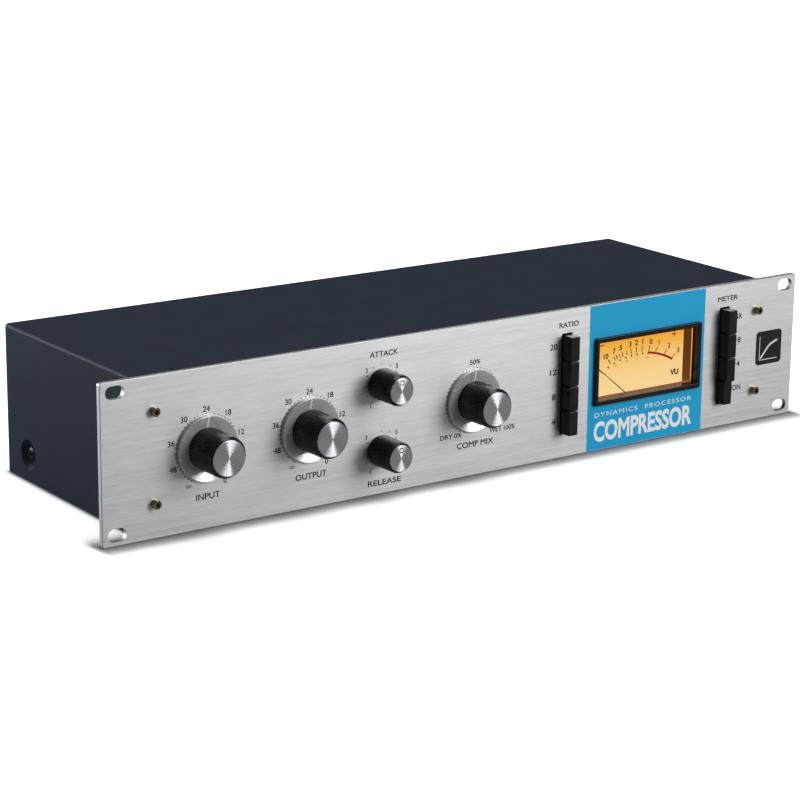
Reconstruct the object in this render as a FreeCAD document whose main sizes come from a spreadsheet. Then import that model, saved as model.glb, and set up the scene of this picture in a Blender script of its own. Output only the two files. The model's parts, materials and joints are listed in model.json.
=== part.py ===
import FreeCAD, Part
import math
import os
import re

import Sketcher
from FreeCAD import Placement, Rotation, Vector

# A two-unit, 19-inch rack compressor.  The origin is the centre of the four rack slots, in the
# plane of the panel's rear face.  +X is right seen from the front, +Y is back, +Z is up.

DIMENSIONS = {
    # front panel and rack slots
    "panel_width": 482.6, "panel_height": 88.1, "panel_thick": 3.0, "panel_corner": 1.5,
    "panel_edge": 0.35, "slot_pitch_x": 465.1, "slot_pitch_z": 76.2, "slot_length": 11.2,
    "slot_height": 7.2, "panel_screw_x": 210.0, "panel_screw_z": 25.0,
    # case: a folded tray under an inverted U of sheet steel
    "case_width": 437.2, "case_depth": 146.2, "case_top": 42.3, "case_bottom": 43.3,
    "sheet": 1.2, "bend": 2.0, "lip": 11.0, "cover_gap": 0.2, "cover_screw_inset": 4.4,
    "cover_screw_outer": 195.0, "cover_screw_inner": 75.0,
    "cover_front": 0.3, "dimple_y": 122.5, "dimple_z": 28.0, "dimple_radius": 8.5,
    "dimple_floor": 5.2, "dimple_depth": 3.9, "side_tab_half": 11.0, "side_tab_rise": 9.0,
    # rotary controls
    "input_x": 178.4, "output_x": 114.0, "small_x": 66.8, "attack_z": 18.8,
    "release_z": 19.1, "mix_x": 4.0,
    "shaft_radius": 3.0, "shaft_play": 0.03, "bush_radius": 3.5, "bush_reach": 2.2,
    "pot_radius": 8.2, "pot_depth": 9.0, "pot_floor": 1.0, "nut_flats": 10.0,
    "nut_thick": 2.0, "thread_play": 0.02,
    "recess_radius": 6.2, "recess_depth": 2.4, "bore_margin": 5.0, "shoulder": 2.2,
    "cap_lip": 0.3, "cap_proud": 0.5, "rib_depth": 0.38, "rib_half": 0.42, "rib_stop": 2.7,
    "cap_thick": 1.4, "cap_edge": 0.2, "large_base": 11.6, "large_front": 11.3,
    "large_reach": 22.8, "large_cap": 9.7, "large_rear": 1.1, "small_base": 8.9,
    "small_front": 8.7, "small_reach": 19.4, "small_cap": 7.4, "small_rear": 0.6,
    "skirt_radius": 18.0, "skirt_bore": 8.0, "skirt_gap": 0.5, "skirt_edge": 0.4,
    "skirt_flat": 11.7, "skirt_dish": 1.5, "spigot_reach": 0.2, "index_radius": 1.35,
    "index_width": 0.35, "index_height": 4.7, "index_depth": 0.12,
    # push-button banks
    "key_pitch": 14.74, "key_gap": 0.36, "key_width": 6.6, "key_reach": 8.0, "key_rear": 2.6,
    "key_corner": 0.6, "key_round": 0.45, "key_play": 0.6,
    "key_end_play": 0.9, "latched_in": 2.3,
    "ratio_x": 62.8, "meter_key_x": 184.0, "keys_low": 29.3, "stem_half": 1.6,
    "stem_end": 16.0, "stem_play": 0.1, "bank_front": 8.0, "bank_rear": 30.0,
    "bank_half": 6.5, "bank_end": 1.2, "bank_bore": 24.0,
    # meter
    "meter_x": 124.0, "meter_z": 3.75, "bezel_half_x": 40.55, "bezel_half_z": 20.3,
    "bezel_reach": 2.2, "bezel_corner": 1.2, "bezel_edge": 0.4, "opening_half_x": 38.1,
    "opening_half_z": 17.35, "tube_wall": 1.0, "glass_thick": 1.0, "housing_half_x": 39.9,
    "housing_top": 24.0, "housing_low": 34.5, "housing_rear": 30.0, "view_half_x": 35.5,
    "view_low": 14.45, "view_high": 20.6, "card_front": 5.4, "card_thick": 0.5,
    "needle_angle": 50.7, "needle_length": 39.6, "needle_front": 4.15, "needle_thick": 0.3,
    "pivot_z": 22.4, "coil_radius": 6.2, "coil_wire": 1.0, "coil_front": 9.2,
    "coil_rear": 20.8, "coil_half": 0.8, "coil_air": 0.6, "core_radius": 4.6,
    "ring_bore": 6.9, "ring_radius": 10.0, "web_half": 1.0, "web_bite": 0.3,
    "housing_wall": 1.5, "movement_half": 20.0, "movement_front": 2.7, "magnet_half": 12.0,
    "magnet_rise": 2.5, "slot_half": 14.0, "slot_play": 0.5, "pane_play": 0.05,
    "card_play": 0.1, "lamp_inset": 3.0, "lamp_board": 3.5, "lamp_board_rear": 1.9,
    "lamp_front": 8.0, "lamp_pitch": 22.0, "lamp_radius": 2.5, "tube_bite": 0.5,
    "hub_radius": 2.2, "hub_proud": 0.4, "spindle_radius": 0.6, "pivot_radius": 0.5,
    "pivot_length": 3.0, "pivot_bite": 0.3, "blade_root": 0.35, "blade_tip": 0.16,
    "tail_half": 0.9, "tail_length": 6.0,
    # rear connectors
    "flange_thick": 2.2, "flange_half_x": 13.0, "flange_half_z": 15.5, "flange_corner": 3.0,
    "flange_screw_x": 9.5, "flange_screw_z": 12.0, "xlr_in_x": 152.0,
    "xlr_out_x": 112.0, "shell_radius": 11.8, "xlr_cavity": 9.6, "xlr_insert": 7.7,
    "xlr_male_cavity": 8.2, "xlr_pin_circle": 4.05, "shell_depth": 23.0,
    "cavity_depth": 15.0, "contact_hole": 1.35, "contact_hole_depth": 14.0,
    "contact_pin": 1.2, "contact_pin_end": 0.5, "tab_z": 12.4, "tab_half_x": 4.0,
    "tab_half_z": 1.3, "tab_root": 0.5, "tab_proud": 2.5, "tab_slot_depth": 3.0,
    "tab_wide_play": 0.4, "jack_in_x": 72.0, "jack_out_x": 46.0, "jack_bore": 3.25,
    "jack_bush": 5.0, "jack_bush_reach": 4.5, "jack_half": 8.0, "jack_depth": 26.0,
    "jack_bore_depth": 24.0, "jack_nut_radius": 7.5, "jack_nut_thick": 2.4,
    "inlet_x": 190.0, "inlet_half_x": 15.0, "inlet_half_z": 21.0, "inlet_edge": 8.0,
    "inlet_corner": 4.0, "inlet_screw_out": 4.0, "inlet_step": 1.5, "inlet_depth": 32.0,
    "inlet_cut_play": 0.2, "socket_low": 3.5, "socket_high": 13.5, "socket_half_x": 12.0,
    "socket_cut": 5.0, "inlet_socket_depth": 17.0, "blade_end": 1.0, "blade_half_x": 1.0,
    "blade_half_z": 2.0, "blade_pitch": 7.0, "blade_low": 3.5, "blade_high": 7.5,
    "drawer_half_x": 11.3, "drawer_low": 17.2, "drawer_high": 8.2, "drawer_play": 0.2,
    "drawer_depth": 25.5, "drawer_end_play": 0.5, "drawer_proud": 0.8, "fuse_half": 10.0,
    "fuse_floor": 1.5, "fuse_rear": 23.0, "fuse_front": 15.0, "notch_half": 3.0,
    "notch_depth": 1.4, "notch_step": 0.6,
    # boards and transformer
    "board_thick": 1.6, "board_z": 34.0, "board_left": 200.0, "board_right": 92.0,
    "board_front": 36.0, "board_rear": 114.0, "toroid_x": 140.0, "toroid_y": 88.0,
    "toroid_radius": 36.0, "toroid_bore": 13.0, "toroid_height": 31.0,
    "control_board_y": 10.2, "control_left": 205.0, "control_right": 20.0,
    "control_half": 32.0, "post_inset": 6.0, "post_middle": 54.0, "post_radius": 3.2,
    "bolt_radius": 3.0, "washer_radius": 24.0, "washer_thick": 1.5, "bolt_nut_radius": 6.0,
    "bolt_nut_thick": 5.0, "bolt_end": 2.5, "toroid_round": 4.0, "toroid_bore_round": 3.0,
    "capacitor_radius": 9.0, "capacitor_height": 30.0, "capacitor_edge": 0.8,
    "capacitor_left": 28.0, "capacitor_front": 60.0, "capacitor_pitch": 24.0,
    "sink_left": 18.0, "sink_pitch": 36.0, "sink_front": 100.0, "sink_height": 28.0,
    "can_y": 92.0, "can_half_x": 17.0, "can_half_y": 15.0, "can_corner": 3.0,
    "can_height": 34.0, "can_round": 1.5,
    # fasteners and clearances
    "small_head": 2.8, "small_head_height": 1.6, "small_shank": 1.4, "cover_head": 2.5,
    "cover_head_height": 1.1, "cover_shank": 1.2, "side_head": 4.35,
    "side_head_height": 2.6, "side_shank": 1.9, "socket_head": 2.5, "socket_height": 3.3,
    "socket_shank": 1.5, "socket_length": 9.0, "socket_edge": 0.35, "socket_key": 1.45,
    "socket_key_depth": 2.0, "hole_play": 0.1, "wide_play": 0.2, "fold_play": 0.3,
    "close_play": 0.05, "past": 1.0,
}

PLANES = {"x": "YZ_Plane", "y": "XZ_Plane", "z": "XY_Plane"}
LARGE_KNOBS = {"input": "-input_x", "output": "-output_x", "mix": "-mix_x"}
SMALL_KNOBS = {"attack": "attack_z", "release": "-release_z"}
RATIO_KEYS = ("4", "8", "12", "20")
METER_KEYS = ("4", "8", "gr")
AUDIO_TRANSFORMERS = {"input_transformer": -150, "output_transformer": -95}
LARGE_RIBS = 60
SMALL_RIBS = 48
LEAST_CUT = 1e-3      # mm3 that a cut has to take away
SAME_PLACE = 1e-4     # mm within which an edge lies in a plane
# a pan head's profile and cross, as shares of its height and radius
PAN_PROFILE = ((1, 0), (1, 0.62), (0.75, 0.9), (0.4, 1), (0, 1))
PAN_CROSS = {"arm": 0.5, "half": 0.09, "floor": 0.35}
PAN_LENGTH = 4
SIDE_LENGTH = 5
DIMPLE_LAP = 0.01     # mm that a dimple's cone starts outside the sheet's face
DIMPLE_SLANT = 0.4    # the share of the sheet that a dimple's slant adds to its floor
# a heatsink's comb: fins, their pitch, thickness and depth, and the back's thickness
SINK_FINS, SINK_PITCH, SINK_FIN, SINK_DEPTH, SINK_BACK = 7, 4, 2, 12, 3

doc = FreeCAD.newDocument("rack_compressor")
sheet = doc.addObject("Spreadsheet::Sheet", "dims")
for row, (alias, number) in enumerate(DIMENSIONS.items(), start=1):
    sheet.set(f"A{row}", alias)
    sheet.set(f"B{row}", str(number))
    sheet.setAlias(f"B{row}", alias)
doc.recompute()

nodes = []


def cells(expression):
    """The expression with each dimension's name pointing at its cell in the sheet."""
    return re.sub(r"[a-z_]+", lambda word: "dims." + word[0] if word[0] in DIMENSIONS else word[0],
                  str(expression))


def value(expression):
    return float(sheet.evalExpression(cells(expression)))


def bind(item, setting, expression):
    item.setExpression(setting, cells(expression))


def new_body(label, exported=True):
    body = doc.addObject("PartDesign::Body", label)
    body.Label = label
    if exported:
        nodes.append(body)
    return body


def place(item, x=0, y=0, z=0, turn=None):
    """Bind an item's position, and turn it by (axis, angle) when that is given."""
    if turn:
        item.Placement = Placement(Vector(), Rotation(*turn))
    bind(item, "Placement.Base.x", x)
    bind(item, "Placement.Base.y", y)
    bind(item, "Placement.Base.z", z)


def origin_plane(body, role):
    return next(item for item in body.Origin.OriginFeatures if item.Role == role)


# ---- sketch shapes: each returns a function that draws it in a sketch ----

def limit(sketch, kind, place_of, expression):
    index = sketch.addConstraint(Sketcher.Constraint(kind, *place_of, value(expression)))
    sketch.setExpression(f"Constraints[{index}]", cells(expression))


def pin(sketch, geometry, point, x, y):
    limit(sketch, "DistanceX", (-1, 1, geometry, point), x)
    limit(sketch, "DistanceY", (-1, 1, geometry, point), y)


def circle(x, y, radius):
    def draw(sketch):
        centre = Vector(value(x), value(y), 0)
        ring = Part.Circle(centre, Vector(0, 0, 1), value(radius))
        index = sketch.addGeometry(ring, False)
        pin(sketch, index, 3, x, y)
        limit(sketch, "Radius", (index,), radius)
    return draw


def outline(*points):
    """A closed polygon."""
    def draw(sketch):
        first = sketch.GeometryCount
        count = len(points)
        corners = [Vector(value(x), value(y), 0) for x, y in points]
        for index in range(count):
            side = Part.LineSegment(corners[index], corners[(index + 1) % count])
            sketch.addGeometry(side, False)
        for index, (x, y) in enumerate(points):
            after = first + (index + 1) % count
            sketch.addConstraint(Sketcher.Constraint("Coincident", first + index, 2, after, 1))
            pin(sketch, first + index, 1, x, y)
    return draw


def rounded(centres, radius):
    """Equal arcs about the centres, anticlockwise from the lower right, and tangent lines."""
    def draw(sketch):
        first = sketch.GeometryCount
        count = len(centres)
        sweep = 2 * math.pi / count
        for index, (x, y) in enumerate(centres):
            ring = Part.Circle(Vector(value(x), value(y), 0), Vector(0, 0, 1), value(radius))
            start = index * sweep - math.pi / 2
            sketch.addGeometry(Part.ArcOfCircle(ring, start, start + sweep), False)
        for index in range(count):
            here = sketch.Geometry[first + index].EndPoint
            there = sketch.Geometry[first + (index + 1) % count].StartPoint
            sketch.addGeometry(Part.LineSegment(here, there), False)
        for index, (x, y) in enumerate(centres):
            arc = first + index
            line = first + count + index
            after = first + (index + 1) % count
            sketch.addConstraint(Sketcher.Constraint("Tangent", arc, 2, line, 1))
            sketch.addConstraint(Sketcher.Constraint("Tangent", line, 2, after, 1))
            pin(sketch, arc, 3, x, y)
            limit(sketch, "Radius", (arc,), radius)
    return draw


def box(x, y, half_x, half_y, radius=None):
    """A rectangle about (x, y), with round corners when a radius is given."""
    inset = radius if radius else 0
    left, right = f"({x}) - ({half_x}) + {inset}", f"({x}) + ({half_x}) - {inset}"
    low, high = f"({y}) - ({half_y}) + {inset}", f"({y}) + ({half_y}) - {inset}"
    corners = ((right, low), (right, high), (left, high), (left, low))
    return rounded(corners, radius) if radius else outline(*corners)


def span(left, right, low, high):
    return outline((right, low), (right, high), (left, high), (left, low))


def hexagon(x, y, radius):
    return outline(*[(f"{x} + {radius} * cos({60 * corner})",
                      f"{y} + {radius} * sin({60 * corner})") for corner in range(6)])


def rack_slot(x, y):
    reach = "(slot_length - slot_height) / 2"
    return rounded(((f"{x} + {reach}", y), (f"{x} - {reach}", y)), "slot_height / 2")


# ---- features ----

def prism(body, name, axis, low, high, *shapes, cut=False):
    """Pad the shapes, or with cut pocket them, between two levels along an axis."""
    sketch = body.newObject("Sketcher::SketchObject", name + "_sketch")
    sketch.AttachmentSupport = [(origin_plane(body, PLANES[axis]), "")]
    sketch.MapMode = "FlatFace"
    bind(sketch, "AttachmentOffset.Base.z", f"-({high})" if axis == "y" else low)
    for draw in shapes:
        draw(sketch)
    doc.recompute()
    before = body.Shape.Volume if cut else 0
    feature = body.newObject("PartDesign::Pocket" if cut else "PartDesign::Pad", name)
    feature.Profile = sketch
    feature.Reversed = cut
    bind(feature, "Length", f"({high}) - ({low})")
    doc.recompute()
    if cut and not feature.Shape.Volume < before - LEAST_CUT:
        raise RuntimeError(f"{name} cuts nothing")
    return feature


def spin(body, name, axis, points, base=(0, 0, 0), cut=False):
    """Revolve an outline of (distance along the axis, radius) about an axis through base."""
    x, y, z = base
    plane, offset, line = {
        "x": ("XY_Plane", (0, y, z), "H_Axis"),
        "y": ("YZ_Plane", (0, z, x), "H_Axis"),
        "z": ("XZ_Plane", (x, 0, f"-({y})"), "V_Axis"),
    }[axis]
    sketch = body.newObject("Sketcher::SketchObject", name + "_sketch")
    sketch.AttachmentSupport = [(origin_plane(body, plane), "")]
    sketch.MapMode = "FlatFace"
    for letter, distance in zip("xyz", offset):
        bind(sketch, f"AttachmentOffset.Base.{letter}", distance)
    if axis == "z":
        points = [(radius, along) for along, radius in points]
    outline(*points)(sketch)
    doc.recompute()
    before = body.Shape.Volume if cut else 0
    feature = body.newObject("PartDesign::Groove" if cut else "PartDesign::Revolution", name)
    feature.Profile = sketch
    feature.ReferenceAxis = (sketch, [line])
    feature.Angle = 360
    doc.recompute()
    if cut and not feature.Shape.Volume < before - LEAST_CUT:
        raise RuntimeError(f"{name} cuts nothing")
    return feature


def flat_edges(shape, axis, level, outer_only=False):
    """The names of the edges that lie in the plane at this level along the axis."""
    low_name, high_name = axis.upper() + "Min", axis.upper() + "Max"
    whole = shape.BoundBox
    found = []
    for number, edge in enumerate(shape.Edges, start=1):
        limits = edge.BoundBox
        off_plane = max(abs(getattr(limits, side) - level) for side in (low_name, high_name))
        near_side = min(limits.XMin - whole.XMin, whole.XMax - limits.XMax,
                        limits.ZMin - whole.ZMin, whole.ZMax - limits.ZMax)
        if off_plane < SAME_PLACE and (near_side < value("hole_play") or not outer_only):
            found.append(f"Edge{number}")
    return found


def soften(body, name, kind, axis, level, size, outer_only=False):
    """Fillet or chamfer the edges at one level of the body's last feature."""
    base = body.Tip
    feature = body.newObject("PartDesign::" + kind, name)
    feature.Base = (base, flat_edges(base.Shape, axis, value(level), outer_only))
    bind(feature, "Size" if kind == "Chamfer" else "Radius", size)
    doc.recompute()
    return feature


def mirror_x(body, name, *features):
    """Repeat the features on the other side of the plane x = 0."""
    feature = body.newObject("PartDesign::Mirrored", name)
    feature.Originals = list(features)
    feature.MirrorPlane = (origin_plane(body, "YZ_Plane"), [""])
    body.Tip = feature
    doc.recompute()
    return feature


def group(label, source, places, turn=None):
    """One node of identical solids: links to the source body at each place."""
    links = []
    for index, spot in enumerate(places):
        link = doc.addObject("App::Link", f"{label}_{index}")
        link.LinkedObject = source
        place(link, *spot, turn=turn)
        links.append(link)
    return links


def compound(label, links):
    item = doc.addObject("Part::Compound", label)
    item.Label = label
    item.Links = links
    nodes.append(item)


# ---- fasteners, as masters that are linked into place ----

def pan_screw(label, size, length):
    """A pan-head cross screw: its head rests on z = 0 and its shank points down."""
    body = new_body(label, exported=False)
    head, height, shank = f"{size}_head", f"{size}_head_height", f"{size}_shank"
    profile = [(f"{height} * {rise}", f"{head} * {across}") for rise, across in PAN_PROFILE]
    tip = f"-{length} - {shank} / 2"
    spin(body, label + "_turned", "z", [
        *profile, (0, shank), (f"-{length}", shank), (tip, f"{shank} / 2"), (tip, 0)])
    arm, half = f"{head} * {PAN_CROSS['arm']}", f"{head} * {PAN_CROSS['half']}"
    for direction, sides in (("along", (arm, half)), ("across", (half, arm))):
        prism(body, f"{label}_{direction}", "z", f"{height} * {PAN_CROSS['floor']}",
              f"{height} + past", box(0, 0, *sides), cut=True)
    return body


def socket_screw():
    """A socket-head cap screw: its head rests on z = 0 and its shank points down."""
    body = new_body("socket_screw_master", exported=False)
    spin(body, "socket_turned", "z", [
        ("socket_height", 0), ("socket_height", "socket_head - socket_edge"),
        ("socket_height - socket_edge", "socket_head"), (0, "socket_head"),
        (0, "socket_shank"), ("-socket_length", "socket_shank"), ("-socket_length", 0)])
    prism(body, "socket_hex", "z", "socket_height - socket_key_depth", "socket_height + past",
          hexagon(0, 0, "socket_key"), cut=True)
    return body


TO_FRONT = (Vector(1, 0, 0), 90)
TO_REAR = (Vector(1, 0, 0), -90)
TO_LEFT = (Vector(0, 1, 0), -90)
TO_RIGHT = (Vector(0, 1, 0), 90)
COVER_SCREW_XS = ("-cover_screw_outer", "-cover_screw_inner",
                  "cover_screw_inner", "cover_screw_outer")
PANEL_SCREWS = [(f"{side_x} * panel_screw_x", f"{side_z} * panel_screw_z")
                for side_x in (-1, 1) for side_z in (-1, 1)]
BOARD_POSTS = [(x, y)
               for x in ("-board_left + post_inset", "-post_middle", "board_right - post_inset")
               for y in ("board_front + post_inset", "board_rear - post_inset")]
INLET_SCREWS = [("inlet_x", f"{side} * (inlet_half_z + inlet_screw_out)") for side in (1, -1)]
BOARD_TOP = "-board_z + board_thick"
CASE_FLOOR = "-case_bottom + sheet"
REAR_FACE = "case_depth"
FLANGE_FACE = "case_depth + flange_thick"
PAST_FLANGE = "case_depth + flange_thick + past"


def flange_screws(x):
    """The two screws of a connector's flange, on a diagonal."""
    return [(f"{x} + {side} * flange_screw_x", f"{side} * flange_screw_z") for side in (-1, 1)]


FLANGE_SCREWS = flange_screws("-xlr_in_x") + flange_screws("-xlr_out_x")


def make_fasteners():
    corners = [(x, "-panel_thick", z) for x, z in PANEL_SCREWS]
    compound("panel_screws", group("panel_screw", socket_screw(), corners, TO_FRONT))

    small = pan_screw("small_screw_master", "small", PAN_LENGTH)
    cover = pan_screw("cover_screw_master", "cover", PAN_LENGTH)
    side = pan_screw("side_screw_master", "side", SIDE_LENGTH)
    top_places = [(x, "cover_screw_inset", "case_top") for x in COVER_SCREW_XS]
    side_place = "case_width / 2 - dimple_depth"
    cover_links = group("cover_screw", cover, top_places)
    cover_links += group("left_screw", side, [(f"-({side_place})", "dimple_y", "-dimple_z")],
                         TO_LEFT)
    cover_links += group("right_screw", side, [(side_place, "dimple_y", "-dimple_z")], TO_RIGHT)
    compound("cover_screws", cover_links)

    rear_places = [(x, FLANGE_FACE, z) for x, z in FLANGE_SCREWS + INLET_SCREWS]
    compound("connector_screws", group("connector_screw", small, rear_places, TO_REAR))
    board_places = [(x, y, BOARD_TOP) for x, y in BOARD_POSTS]
    compound("board_screws", group("board_screw", small, board_places))


# ---- case ----

def knob_places():
    places = [(x, 0) for x in LARGE_KNOBS.values()]
    return places + [("-small_x", z) for z in SMALL_KNOBS.values()]


def key_slots(extra):
    """The openings for the two banks of keys, this much larger all round than the panel's."""
    half_x = f"key_width / 2 + key_play + {extra}"
    half_z = f"keys_low + key_end_play + {extra}"
    return [box(x, 0, half_x, half_z) for x in ("ratio_x", "meter_key_x")]


def meter_hole(play):
    return box("meter_x", "meter_z", f"opening_half_x + tube_wall + {play}",
               f"opening_half_z + tube_wall + {play}")


def make_front_panel():
    body = new_body("front_panel")
    prism(body, "plate", "y", "-panel_thick", 0,
          box(0, 0, "panel_width / 2", "panel_height / 2", "panel_corner"),
          *[rack_slot(f"{side_x} * slot_pitch_x / 2", f"{side_z} * slot_pitch_z / 2")
            for side_x in (-1, 1) for side_z in (-1, 1)])
    prism(body, "panel_holes", "y", "-panel_thick - past", "past",
          *[circle(x, z, "bush_radius + hole_play") for x, z in knob_places()],
          *[circle(x, z, "socket_shank + wide_play") for x, z in PANEL_SCREWS],
          *key_slots(0), meter_hole("hole_play"), cut=True)
    soften(body, "front_edge", "Chamfer", "y", "-panel_thick", "panel_edge", outer_only=True)


def make_chassis_tray():
    """Floor, front and rear walls and top lips folded from one sheet, with two side tabs."""
    body = new_body("chassis_tray")
    low, high = "-case_bottom", "case_top - sheet - cover_gap"
    inner_low, inner_high = CASE_FLOOR, f"{high} - sheet"
    prism(body, "folded_sheet", "x", "-case_width / 2 + sheet + cover_gap",
          "case_width / 2 - sheet - cover_gap", outline(
              (0, low), ("case_depth", low), ("case_depth", high), ("case_depth - lip", high),
              ("case_depth - lip", inner_high), ("case_depth - sheet", inner_high),
              ("case_depth - sheet", inner_low), ("sheet", inner_low), ("sheet", inner_high),
              ("lip", inner_high), ("lip", high), (0, high)))
    tab_outer = "case_width / 2 - sheet - dimple_depth - cover_gap"
    tab = prism(body, "side_tab", "x", f"{tab_outer} - sheet", tab_outer,
                span("dimple_y - side_tab_half", "dimple_y + side_tab_half", inner_low,
                     "-dimple_z + side_tab_rise"))
    mirror_x(body, "side_tabs", tab)
    tab_hole = prism(body, "side_tab_hole", "x", f"{tab_outer} - sheet - past",
                     f"{tab_outer} + past",
                     circle("dimple_y", "-dimple_z", "side_shank + hole_play"), cut=True)
    mirror_x(body, "side_tab_holes", tab_hole)
    prism(body, "front_openings", "y", "-past", "sheet + past",
          *[circle(x, z, "bush_radius + hole_play") for x, z in knob_places()],
          *[circle(x, z, "socket_shank + close_play") for x, z in PANEL_SCREWS],
          *key_slots("fold_play"), meter_hole("fold_play"), cut=True)
    wall_low, wall_high = "case_depth - sheet - past", "case_depth + past"
    inlet_inset = "inlet_step - inlet_cut_play"
    prism(body, "rear_openings", "y", wall_low, wall_high,
          *[circle(f"-{x}", 0, "shell_radius + wide_play") for x in ("xlr_in_x", "xlr_out_x")],
          *[circle(f"-{x}", 0, "jack_bush + hole_play") for x in ("jack_in_x", "jack_out_x")],
          *[circle(x, z, "small_shank + hole_play") for x, z in FLANGE_SCREWS + INLET_SCREWS],
          box("inlet_x", 0, f"inlet_half_x - ({inlet_inset})",
              f"inlet_half_z - ({inlet_inset})"), cut=True)
    prism(body, "tab_opening", "y", wall_low, wall_high,
          box("-xlr_in_x", "tab_z", "tab_half_x + fold_play", "tab_half_z + tab_wide_play"),
          cut=True)
    prism(body, "lip_holes", "z", f"{high} - sheet - past", f"{high} + past",
          *[circle(x, "cover_screw_inset", "cover_shank + hole_play")
            for x in COVER_SCREW_XS], cut=True)
    prism(body, "floor_hole", "z", "-case_bottom - past", f"{CASE_FLOOR} + past",
          circle("toroid_x", "toroid_y", "bolt_radius + hole_play"), cut=True)


def make_top_cover():
    """An inverted U with round bends, and a dimple in each side for its screw."""
    body = new_body("top_cover")
    outer, inner = "case_width / 2", "case_width / 2 - sheet"
    prism(body, "folded_cover", "y", "cover_front", "case_depth",
          span(f"-{outer}", outer, "-case_bottom", "case_top"))
    block = body.Tip
    bends = [f"Edge{number}" for number, edge in enumerate(block.Shape.Edges, start=1)
             if edge.BoundBox.ZMin > value("case_top") - SAME_PLACE
             and edge.BoundBox.YLength > value("past")]
    rounding = body.newObject("PartDesign::Fillet", "bends")
    rounding.Base = (block, bends)
    bind(rounding, "Radius", "bend")
    doc.recompute()
    prism(body, "inside", "y", 0, "case_depth + past",
          span(f"-({inner})", inner, "-case_bottom - past", "case_top - sheet"), cut=True)
    centre = (0, "dimple_y", "-dimple_z")
    back_top, back_floor = f"-({inner}) - {DIMPLE_LAP}", f"-({inner}) + dimple_depth"
    front_top, front_floor = f"-{outer} - {DIMPLE_LAP}", f"-{outer} + dimple_depth"
    cone = spin(body, "dimple_back", "x", [
        (back_top, 0), (back_top, "dimple_radius"),
        (back_floor, f"dimple_floor + sheet * {DIMPLE_SLANT}"), (back_floor, 0)], centre)
    hollow = spin(body, "dimple_front", "x", [
        (front_top, 0), (front_top, "dimple_radius"), (front_floor, "dimple_floor"),
        (front_floor, 0)], centre, cut=True)
    hole = spin(body, "dimple_hole", "x", [
        (f"-{outer} + past", 0), (f"-{outer} + past", "side_shank + hole_play"),
        (f"{back_floor} + past", "side_shank + hole_play"), (f"{back_floor} + past", 0)],
        centre, cut=True)
    mirror_x(body, "both_dimples", cone, hollow, hole)
    prism(body, "cover_holes", "z", "case_top - sheet - past", "case_top + past",
          *[circle(x, "cover_screw_inset", "cover_shank + wide_play")
            for x in COVER_SCREW_XS], cut=True)


# ---- rotary controls ----

def ribs(body, name, size, count):
    """Straight V grooves round the tapered side of a knob."""
    base, front = f"{size}_base", f"{size}_front"
    rise = value(f"{base} - {front}") / value(f"{size}_reach - {size}_rear")
    sketch = body.newObject("Sketcher::SketchObject", name + "_sketch")
    sketch.AttachmentSupport = [(origin_plane(body, "XZ_Plane"), "")]
    sketch.MapMode = "FlatFace"
    tilt = Rotation(Vector(1, 0, 0), math.degrees(math.atan(rise)))
    sketch.AttachmentOffset = Placement(Vector(), tilt)
    bind(sketch, "AttachmentOffset.Base.z", f"panel_thick + {size}_rear")
    outline(("rib_half", f"{base} + hole_play"), ("-rib_half", f"{base} + hole_play"),
            (0, f"{base} - rib_depth"))(sketch)
    doc.recompute()
    before = body.Shape.Volume
    groove = body.newObject("PartDesign::Pocket", name + "_one")
    groove.Profile = sketch
    groove.Reversed = True
    bind(groove, "Length", f"{size}_reach - {size}_rear - rib_stop")
    doc.recompute()
    pattern = body.newObject("PartDesign::PolarPattern", name)
    pattern.Originals = [groove]
    pattern.Axis = (origin_plane(body, "Y_Axis"), [""])
    pattern.Angle = 360
    pattern.Occurrences = count
    body.Tip = pattern
    doc.recompute()
    if not pattern.Shape.Volume < before - count * LEAST_CUT:
        raise RuntimeError(f"{name} cuts nothing")


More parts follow.
